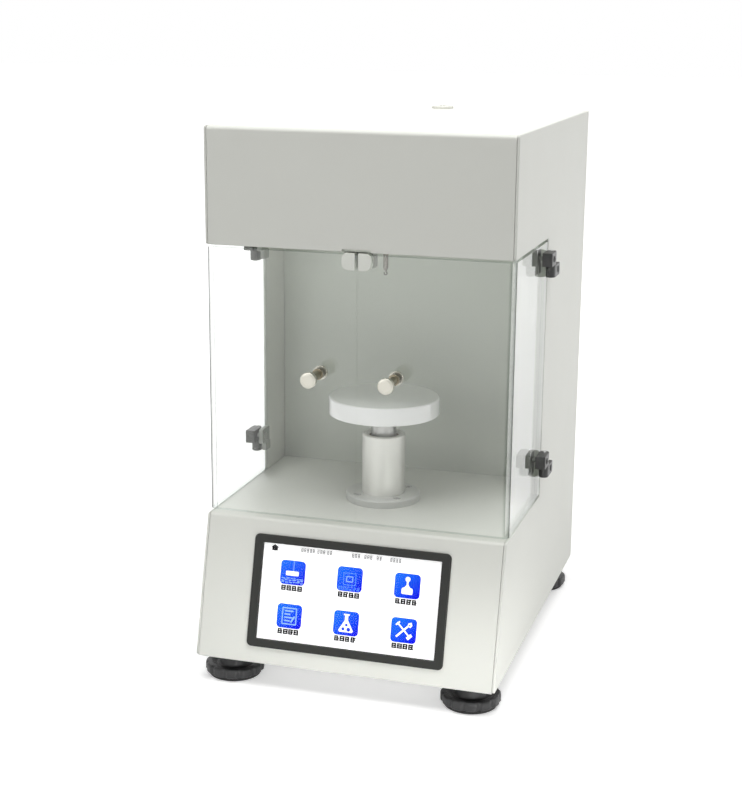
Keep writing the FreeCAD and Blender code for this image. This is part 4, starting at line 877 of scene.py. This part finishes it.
def door_strike(side, sign):
    """Bent clip over the top edge of a door, rounded on its outer side."""
    low, high = span(side + "_door_strike")
    near, far = across(low, high)
    wall = 1.2
    leaf = rounded_outline([(near, low.z, 1.2), (far, low.z, 6.4), (far, high.z, 4.6),
                            (near, high.z, 1.0)], 8)
    work = bmesh.new()
    for start in (low.y, high.y - wall):
        add_plate(work, mirrored(leaf, sign), start, start + wall, "y", 0.35, 3)
    cap = bar(near + 0.6, high.z - wall, far - 3.4, high.z)
    add_plate(work, mirrored(cap, sign), low.y + 0.4, high.y - 0.4, "y", 0.2, 2)
    piece_from(work, side + "_strike", side + "_door", "strike_nickel", (side + "_door_strike",))


def hinge_levels(side):
    """Bottom height of the moving half of the upper and the lower hinge."""
    low, high = span(side + "_hinge_clamps")
    return high.z - CLAMP_HEIGHT, low.z


def pin_place(side):
    """Distance of the pin from the middle of the cabinet, its depth, and the hinge's outer face."""
    low, high = span(side + "_hinge_clamps")
    face = across(low, high)[1]
    return face - HINGE_RADIUS, high.y - HINGE_RADIUS, face


def hinge_moving_halves(side, sign):
    """Clamps outside the pane with their bolts, and the jaws inside it with their studs."""
    pin_x, pin_y, face_x = pin_place(side)
    low, high = span(side + "_hinge_clamps")
    pane_x = across(low, high)[0]
    front = low.y
    levels = hinge_levels(side)
    outline = [(pane_x, front), (face_x, front)] + arc((pin_x, pin_y), HINGE_RADIUS, 0, 180, 16)
    outline.append((pane_x, pin_y))
    work = bmesh.new()
    for level in levels:
        add_plate(work, mirrored(outline, sign), level, level + CLAMP_HEIGHT, "z", 0.6, 3)
    piece_from(work, side + "_clamps", side + "_door", "hinge_black", (side + "_hinge_clamps",))
    inner = across(*span(side + "_hinge_jaws"))[0]
    thick = pane_x - SHEET - inner
    place = (inner, inner + thick) if sign > 0 else (-inner - thick, -inner)
    outward, inward = ("x", "-x") if sign < 0 else ("-x", "x")
    above, below, step_back, past_pin = 2.0, 8.0, 9.0, 2.0
    work = bmesh.new()
    for level in levels:
        top, foot = level + CLAMP_HEIGHT + above, level - below
        profile = rounded_outline([(front, level, 0.8), (pin_y - step_back, level, 1.0),
                                   (pin_y - step_back, foot, 1.0), (pin_y + past_pin, foot, 1.0),
                                   (pin_y + past_pin, level, 0), (pin_y, level, 0), (pin_y, top, 0.8),
                                   (front, top, 3.0)], 6)
        add_plate(work, profile, place[0], place[1], "x", 0.5, 3)
        seat = (sign * inner, (front + pin_y) / 2, level + CLAMP_HEIGHT / 2)
        add_turned(work, rod(3.4, 1.2, 0.3, 0.5), seat, outward, 32)
        add_turned(work, rod(1.9, pane_x - inner), seat, inward, 32)
    piece_from(work, side + "_jaws", side + "_door", "hinge_black", (side + "_hinge_jaws",), [jaw_grey])
    bolt = screw_head(2.7, 0.9, "hexagon", "x", sign)
    start = (sign * face_x, (front + pin_y) / 2, levels[1] + CLAMP_HEIGHT / 2)
    screw_rows(side + "_clamp_bolts", bolt, 1, 2, start, (0, 0, 0), (0, 0, levels[0] - levels[1]), (1, 0, 0),
               side + "_door", "hinge_black", seed=5)


def hinge_fixed_halves():
    """Halves on the side panels, with the pins and their fixing screws."""
    leaves = bmesh.new()
    pins = bmesh.new()
    back = span("hinge_leaves")[1].y
    length = LEAF_HEIGHT + LEAF_GAP + CLAMP_HEIGHT + 2 * PIN_HEAD
    for side, sign in (("left", -1), ("right", 1)):
        pin_x, pin_y, face_x = pin_place(side)
        levels = hinge_levels(side)
        outline = arc((pin_x, pin_y), HINGE_RADIUS, 180, 360, 16)
        outline += [(face_x, back), (PANEL_FACE, back), (PANEL_FACE, LEAF_FRONT),
                    (pin_x - HINGE_RADIUS, LEAF_FRONT)]
        for level in levels:
            top = level - LEAF_GAP
            add_plate(leaves, mirrored(outline, sign), top - LEAF_HEIGHT, top, "z", 0.6, 3)
            add_turned(pins, rod(1.6, length, 0.4, 0.4), (sign * pin_x, pin_y, top - LEAF_HEIGHT - PIN_HEAD),
                       segments=32)
        bolt = screw_head(2.9, 0.9, "cross", "x", sign)
        start = (sign * face_x, back - LEAF_SCREW, levels[1] - LEAF_GAP - LEAF_HEIGHT / 2)
        screw_rows(side + "_leaf_screws", bolt, 1, 2, start, (0, 0, 0), (0, 0, levels[0] - levels[1]),
                   (1, 0, 0), "cabinet", "hinge_black", seed=8)
    piece_from(leaves, "hinge_bars", "cabinet", "hinge_black", ("hinge_leaves",))
    piece_from(pins, "hinge_pin_rods", "cabinet", "rod_steel", ("hinge_pins",))


for door_side, door_sign in (("left", -1), ("right", 1)):
    door_pane(door_side, door_sign)
    door_knob(door_side)
    door_strike(door_side, door_sign)
    hinge_moving_halves(door_side, door_sign)
hinge_fixed_halves()
softened("catch_body", "catch_block", "cabinet", "catch_grey", 0.5)


# ---------------------------------------------------------------- touchscreen

BASE_LOW, BASE_HIGH = span("base_cover")
NOSE_Y = BASE_LOW.y + 31.0
SLOPE = Vector((0, NOSE_Y - BASE_LOW.y, BASE_HIGH.z - BASE_LOW.z)).normalized()
INWARD = Vector((0, SLOPE.z, -SLOPE.y))
SCREEN_MIDDLE = 0.4
FRAME_FOOT = 13.6
FRAME_SIZE = (168.0, 93.6)
VIEW_SIZE = (FRAME_SIZE[0] - 15.2, FRAME_SIZE[1] - 13.6)
ICON_COLUMNS = (-48.7, 0.6, 49.5)
ICON_ROWS = (77.7, 41.7)
ICON = (21.5, 20.0)


def on_slope(x, depth, rise):
    """Point from the slope's own measures: across, into the cabinet, up the slope from its toe."""
    return Vector((x, BASE_LOW.y, BASE_LOW.z)) + INWARD * depth + SLOPE * rise


def add_frames(work, sizes, steps=6, closed_ends=True):
    """Skin over rounded frames on the slope, as (size, growth across and up, corner radius, depth)."""
    middle_rise = FRAME_FOOT + FRAME_SIZE[1] / 2
    rings = []
    for (wide, tall), grown, radius, depth in sizes:
        width, height = wide + grown, tall + grown
        ring = rounded_bar(-width / 2, -height / 2, width / 2, height / 2, radius, steps)
        rings.append([on_slope(SCREEN_MIDDLE + a, depth, middle_rise + b) for a, b in ring])
    add_rings(work, rings, closed_ends)


def screen_piece(work, name, look):
    piece_from(work, name, "cabinet", "screen_module", materials=[look])


def display_frame():
    """Moulded frame with soft outer and inner edges and a thin step at the glass."""
    frame_rings = [(FRAME_SIZE, 0.0, 4.0, 0.0), (FRAME_SIZE, 0.0, 4.0, -1.1), (FRAME_SIZE, -0.25, 3.9, -1.45),
                   (FRAME_SIZE, -0.8, 3.6, -1.72), (FRAME_SIZE, -1.5, 3.3, -1.8), (VIEW_SIZE, 1.6, 1.2, -1.8),
                   (VIEW_SIZE, 0.8, 0.9, -1.68), (VIEW_SIZE, 0.2, 0.6, -1.35), (VIEW_SIZE, 0.0, 0.5, -0.9),
                   (VIEW_SIZE, 0.0, 0.5, 2.0), (VIEW_SIZE, 4.8, 0.5, 2.0), (VIEW_SIZE, 4.8, 0.5, 0.0),
                   (FRAME_SIZE, 0.0, 4.0, 0.0)]
    work = bmesh.new()
    add_frames(work, frame_rings, closed_ends=False)
    piece_from(work, "screen_frame", "cabinet", "bezel_plastic", ("display_bezel",), sharp=50)
    glass = bmesh.new()
    add_frames(glass, [(VIEW_SIZE, -0.5, 0.4, depth) for depth in (-1.0, 0.2)], 3)
    piece_from(glass, "screen_glass_sheet", "cabinet", "screen_glass", ("display_glass",))
    panel = bmesh.new()
    add_frames(panel, [(VIEW_SIZE, -0.5, 0.4, depth) for depth in (0.45, 0.62)], 3)
    screen_piece(panel, "screen_panel", screen_white)


def add_mark(work, outline, x, rise, depth=0.40, thick=0.06, tile=None):
    """Flat mark on the screen from an outline about its own middle; a tile size writes its UV map."""
    back = [work.verts.new(on_slope(x + a, depth, rise + b)) for a, b in outline]
    front = [work.verts.new(on_slope(x + a, depth - thick, rise + b)) for a, b in outline]
    made = [work.faces.new(back), work.faces.new(front)]
    for index in range(len(outline)):
        following = (index + 1) % len(outline)
        made.append(work.faces.new((back[index], back[following], front[following], front[index])))
    if tile:
        layer = work.loops.layers.uv.get("tile") or work.loops.layers.uv.new("tile")
        for face in made:
            for corner in face.loops:
                spot = corner.vert.co - on_slope(x, depth, rise)
                corner[layer].uv = (spot.x / tile[0] + 0.5, spot.dot(SLOPE) / tile[1] + 0.5)


def stroke(x0, y0, x1, y1, width):
    """Thin bar between two points."""
    along = Vector((x1 - x0, y1 - y0)).normalized()
    side = Vector((-along.y, along.x)) * (width / 2)
    return [(x0 - side.x, y0 - side.y), (x1 - side.x, y1 - side.y), (x1 + side.x, y1 + side.y),
            (x0 + side.x, y0 + side.y)]


def screen_tiles():
    """Six rounded blue tiles."""
    work = bmesh.new()
    tile = rounded_bar(-ICON[0] / 2, -ICON[1] / 2, ICON[0] / 2, ICON[1] / 2, 3.2, 6)
    for rise in ICON_ROWS:
        for x in ICON_COLUMNS:
            add_mark(work, tile, x, rise, tile=ICON)
    screen_piece(work, "screen_tiles", tile_blue)


def ripple(column, low, high, finish, seed):
    """Broken light band along a tile's lower edge, as the surface of a liquid."""
    chance = random.Random(seed)
    marks = []
    left, last_start, right = -9.4, 8.6, 9.4
    for level in range(3):
        start = left
        while start < last_start:
            length = chance.uniform(1.6, 3.4)
            y = low + (high - low) * (level + 0.5) / 3 + chance.uniform(-0.3, 0.3)
            dash = stroke(start, y, min(start + length, right), y + chance.uniform(-0.5, 0.5), 0.75)
            marks.append((finish, column, 0, dash))
            start += length + chance.uniform(0.4, 1.4)
    return marks


def loop_strokes(corners, width):
    """Strokes round a closed line."""
    return [stroke(*start, *end, width) for start, end in zip(corners, corners[1:] + corners[:1])]


def glyph_shapes():
    """Simple pictures for the tiles, as (finish, tile column, tile row, outline) from each tile's middle."""
    white, pale, faint = glyph_white, glyph_pale, glyph_faint
    shapes = [(white, 0, 0, rounded_bar(-6.0, -2.6, 5.2, 1.2, 0.7, 3)), (pale, 0, 0, bar(0.2, 1.2, 0.8, 9.6))]
    shapes += ripple(0, -9.0, -4.2, pale, 11) + ripple(1, -9.4, -6.0, faint, 12)
    shrink = 0.86
    for half_w, half_h, finish in ((6.0 * shrink, 5.6 * shrink, faint), (3.0 * shrink, 2.4 * shrink, pale)):
        shapes += [(finish, 1, 0, side) for side in loop_strokes(bar(-half_w, -half_h, half_w, half_h), 0.8)]
    body = [(-4.6, -6.8, 1), (4.8, -6.8, 1), (4.8, -1.4, 1.8), (-4.6, -1.4, 1.8)]
    shapes += [(white, 2, 0, rounded_outline(body, 3)),
               (white, 2, 0, [(-2.6, -1.8), (2.8, -1.8), (1.0, 0.8), (-0.8, 0.8)]),
               (white, 2, 0, bar(-0.7, 0.4, 0.9, 4.4)),
               (white, 2, 0, [(a + 0.1, b + 5.4) for a, b in arc((0, 0), 2.1, 0, 340, 17)])]
    shapes += [(pale, 0, 1, side) for side in loop_strokes(bar(-6.0, -6.6, 6.0, 6.6), 1.0)]
    for index in range(4):
        y = 4.2 - 2.7 * index
        shapes.append((pale, 0, 1, bar(-4.2, y - 0.6, 0.8 + 2.6 * ((index + 1) % 2), y + 0.6)))
    shapes.append((pale, 0, 1, stroke(1.6, -5.0, 4.6, 0.0, 1.4)))
    shapes += [(white, 1, 1, bar(-2.4, 6.4, 2.6, 7.6)), (white, 1, 1, bar(-1.3, 2.2, 1.5, 6.4)),
               (white, 1, 1, [(-1.3, 2.4), (1.5, 2.4), (6.4, -6.0), (5.6, -7.4), (-5.4, -7.4), (-6.2, -6.0)])]
    for x, y, r in ((-2.2, -4.8, 1.3), (2.4, -5.0, 1.6), (0.4, -1.4, 1.1)):
        shapes.append((tile_blue, 1, 1, [(a + x, b + y) for a, b in arc((0, 0), r, 0, 330, 11)]))
    for tool in ((-6.0, -5.6, 4.0, 4.2, 1.6), (-5.8, 6.0, 6.0, -5.6, 1.3), (-6.8, 3.8, -3.6, 6.8, 1.3),
                 (3.2, -6.6, 6.8, -3.2, 2.6), (3.4, 5.2, 6.4, 6.4, 1.4), (4.8, 2.8, 6.6, 5.2, 1.4)):
        shapes.append((white, 2, 1, stroke(*tool)))
    return shapes


def screen_glyphs():
    """One piece for each finish; the blue bubbles lie on the white flask and share the tiles' UV map."""
    groups = {}
    for finish, column, row, outline in glyph_shapes():
        groups.setdefault(finish, []).append((column, row, outline))
    for finish, marks in groups.items():
        blue = finish == tile_blue
        work = bmesh.new()
        for column, row, outline in marks:
            add_mark(work, outline, ICON_COLUMNS[column], ICON_ROWS[row], 0.26 if blue else 0.33, 0.05,
                     ICON if blue else None)
        screen_piece(work, "screen_" + ("bubbles" if blue else finish.name), finish)


def block_letter(work, chance, left, rise, width, tall, weight):
    """Small unreadable letter: bars across and two uprights in a box."""
    for part in (-1, 0, 1):
        level = part * (tall - weight) / 2
        end = left + width * chance.uniform(0.75, 1.0)
        add_mark(work, bar(left, level - weight / 2, end, level + weight / 2), 0, rise)
    for part in (0, 1):
        upright = left + (width - weight) * part * chance.uniform(0.7, 1.0)
        add_mark(work, bar(upright, -tall / 2, upright + weight, tall / 2), 0, rise, depth=0.41)


def screen_captions():
    """Unreadable captions under the tiles, and the status row above them."""
    chance = random.Random(5)
    dark = bmesh.new()
    indent, drop, pitch = 9.2, 12.9, 4.7
    letter = (4.3, 4.4, 1.2)
    for rise in ICON_ROWS:
        for x in ICON_COLUMNS:
            for index in range(4):
                block_letter(dark, chance, x - indent + pitch * index, rise - drop, *letter)
    house_x, house_rise = -66.0, 97.0
    for outline in ([(-3.6, 0.1), (3.6, 0.1), (0, 2.6)], bar(-2.5, -2.6, 2.5, 0.4)):
        add_mark(dark, outline, house_x, house_rise)
    screen_piece(dark, "screen_captions", ink_dark)
    grey = bmesh.new()
    small_pitch, status_rise = 2.5, 97.2
    small_letter = (1.8, 3.4, 0.5)
    for left, end in ((-43, -32), (-29, -23), (-20.5, -15.5), (1, 6.5), (11.5, 17.5), (22, 27), (33.5, 43.5)):
        while left < end:
            block_letter(grey, chance, left, status_rise, *small_letter)
            left += small_pitch
    screen_piece(grey, "screen_status", ink_grey)


display_frame()
screen_tiles()
screen_glyphs()
screen_captions()


# ---------------------------------------------------------------- levelling feet

def levelling_foot(place):
    """Scalloped wheel with its threaded stud, and the pad below it."""
    low, high = span("foot_wheel_" + place)
    x, y, _ = middle_of(low, high)
    reach = 24.8
    hub_top = 21.7 - low.z
    corners = [(0, 4.4, 0), (5.2, 4.4, 0), (5.2, 0, 0), (reach, 0, 1.4), (reach, 7.8, 2.0), (20.2, 7.8, 1.0),
               (15.6, 5.6, 1.6), (13.0, 6.4, 1.2), (9.4, hub_top, 0.8), (4.0, hub_top, 0)]
    height = hub_top
    top = high.z - low.z
    pitch = 1.25
    while height + pitch < top - 0.5:
        corners += [(4.0, height + 0.1, 0), (3.45, height + pitch / 2, 0), (4.0, height + pitch - 0.1, 0)]
        height += pitch
    corners += [(3.4, top, 0.3), (0, top, 0)]
    turned_piece("foot_knob_" + place, corners, (x, y, low.z), "wheel_" + place, "foot_black",
                 ("foot_wheel_" + place,), "z", 192, (12, 1.25, 18.0))
    low, high = span("foot_pad_" + place)
    corners = [(0, 0, 0), (22.0, 0, 0.9), (22.0, 3.0, 0.8), (5.0, 3.0, 0.4), (5.0, 7.0, 0.5), (0, 7.0, 0)]
    turned_piece("foot_sole_" + place, corners, (x, y, low.z), "pad_" + place, "pad_rubber",
                 ("foot_pad_" + place,))


for foot_place in ("front_left", "front_right", "back_left", "back_right"):
    levelling_foot(foot_place)


# ---------------------------------------------------------------- bubble level and rear fittings

def spirit_level():
    """Housing, coloured window, and the circle and bubble in it."""
    low, high = span("level_housing")
    x, y, _ = middle_of(low, high)
    tall = high.z - low.z
    turned_piece("level_ring", [(0, 0, 0), (7.5, 0, 0.4), (7.5, 6.0, 0), (10.0, 6.0, 0.3), (10.0, tall, 1.0),
                                (7.5, tall, 0.6), (6.5, tall - 1.2, 0.3), (6.5, 2.0, 0), (0, 2.0, 0)],
                 (x, y, low.z), "cabinet", "level_plastic", ("level_housing",))
    low, high = span("level_vial")
    rise = high.z - low.z
    turned_piece("level_window", [(0, 0, 0), (6.5, 0, 0), (6.5, rise - 0.5, 0.3), (0, rise, 0)],
                 (x, y, low.z), "cabinet", "level_liquid", ("level_vial",), materials=[level_fluid])
    mark, wire_radius, just_above = 3.0, 0.14, 0.02
    work = bmesh.new()
    circle = [Vector((x + mark * math.cos(turn), y + mark * math.sin(turn), high.z + just_above))
              for turn in (2 * math.pi * step / 64 for step in range(64))]
    add_tube(work, circle + circle[:1], wire_radius, 8)
    piece_from(work, "level_mark", "cabinet", "level_liquid", materials=[ink_dark])
    turned_piece("level_bubble", [(0, 0, 0), (2.2, 0.1, 0.2), (1.7, 0.5, 0.4), (0, 0.62, 0)],
                 (x + 0.4, y - 0.3, high.z - 0.25), "cabinet", "level_liquid", materials=[polished_edge],
                 segments=48)


def rear_fittings():
    """Screws of the rear panel, and the inlet, switch and socket in it."""
    low, high = span("rear_screws")
    head_radius = 3.0
    head_height = 1.6
    columns = high.x - low.x - 2 * head_radius
    rows = (high.z - low.z - 2 * head_radius) / 3
    screw = screw_head(head_radius, head_height, "cross", "y", 1)
    start = (low.x + head_radius, high.y - head_height, low.z + head_radius)
    screw_rows("rear_panel_screws", screw, 2, 4, start, (columns, 0, 0), (0, 0, rows), (0, 1, 0), "cabinet",
               "screw_steel", ("rear_screws",))
    softened("power_inlet", "mains_inlet", "cabinet", "fitting_black", 0.6)
    softened("switch_frame", "rocker_frame", "cabinet", "fitting_black", 0.5)
    softened("data_socket", "signal_socket", "cabinet", "socket_grey", 0.6)
    softened("inlet_pins", "mains_pins", "cabinet", "pin_brass", 0.4)
    softened("switch_rocker", "rocker_key", "rocker", "rocker_plastic", 0.4)


spirit_level()
rear_fittings()


# ---------------------------------------------------------------- floor, light and camera

def rays_that_see(tree):
    """One for the camera's own rays and for those that metal and glass send on, else zero."""
    path = add_node(tree, "ShaderNodeLightPath").outputs
    direct = maths(tree, "MAXIMUM", path["Is Camera Ray"], path["Is Transmission Ray"])
    return maths(tree, "MAXIMUM", direct, path["Is Glossy Ray"])


def studio_floor():
    """Pale floor that keeps the soft shadow and turns as bright as the backdrop further out."""
    mesh = bpy.data.meshes.new("floor")
    reach = 12.0
    mesh.from_pydata([(a, b, 0) for a, b in bar(-reach, -reach, reach, reach)], [], [(0, 1, 2, 3)])
    floor = into_scene("floor", mesh)
    material, tree, shader = new_material("floor", Base_Color=(0.86, 0.86, 0.855, 1), Roughness=0.9)
    far = remap(tree, vector_maths(tree, "LENGTH", object_place(tree)), 0.5, 2.4, 0.46, 1.0)
    strength = maths(tree, "MULTIPLY", rays_that_see(tree), far)
    glow = add_node(tree, "ShaderNodeEmission", {"Strength": strength})
    both = add_node(tree, "ShaderNodeAddShader", {0: shader.outputs[0], 1: glow.outputs[0]})
    feed(tree, tree.nodes["Material Output"], {"Surface": both.outputs[0]})
    mesh.materials.append(material)


def studio_world():
    """White to the rays that see it; otherwise it gives only a little fill light."""
    world = bpy.data.worlds.new("studio")
    bpy.context.scene.world = world
    world.use_nodes = True
    tree = world.node_tree
    level = remap(tree, rays_that_see(tree), to_low=0.05)
    feed(tree, tree.nodes["Background"], {"Color": (1, 1, 1, 1), "Strength": level})


def softbox(name, place, aim, width, height, power, spread=180):
    """Rectangular lamp turned to a point; a spread under 180 degrees narrows its beam."""
    lamp = bpy.data.lights.new(name, "AREA")
    lamp.shape = "RECTANGLE"
    lamp.size = width
    lamp.size_y = height
    lamp.energy = power
    lamp.spread = math.radians(spread)
    box = into_scene(name, lamp)
    box.location = place
    box.rotation_euler = (Vector(aim) - Vector(place)).to_track_quat("-Z", "Y").to_euler()


def studio_camera():
    """Camera a metre and a third in front, a little to the right and above."""
    turn, tilt, roll = math.radians(16.93), math.radians(13.93), math.radians(0.506)
    place = (0.3705, -1.3124, 0.5522)
    back = Vector((math.sin(turn) * math.cos(tilt), -math.cos(turn) * math.cos(tilt), math.sin(tilt)))
    right = (-back).cross(Vector((0, 0, 1))).normalized()
    up = right.cross(-back)
    level = right * math.cos(roll) + up * math.sin(roll)
    upright = up * math.cos(roll) - right * math.sin(roll)
    lens = bpy.data.cameras.new("camera")
    lens.lens = 71.55
    lens.clip_start = 0.05
    camera = into_scene("camera", lens)
    camera.matrix_world = Matrix((*zip(level, upright, back, place), (0, 0, 0, 1)))
    bpy.context.scene.camera = camera


studio_floor()
studio_world()
# name, place, aim, width, height, watts
softbox("top_light", (0.1, -0.4, 2.6), (0, 0, 0.3), 2.4, 2.0, 75)
softbox("right_light", (1.8, 1.2, 0.4), (0, 0, 0.2), 1.4, 0.6, 10)
softbox("front_light", (-1.1, -2.2, 0.7), (0, 0, 0.2), 1.2, 1.0, 5.6)
softbox("toe_light", (0.4, -0.55, 0.05), (0, -0.13, 0.035), 0.3, 0.06, 0.068, spread=26)
softbox("back_light", (-0.8, 2.6, 1.1), (0, 0, 0.25), 1.6, 1.2, 6)
studio_camera()
bpy.context.scene.view_settings.view_transform = "Standard"
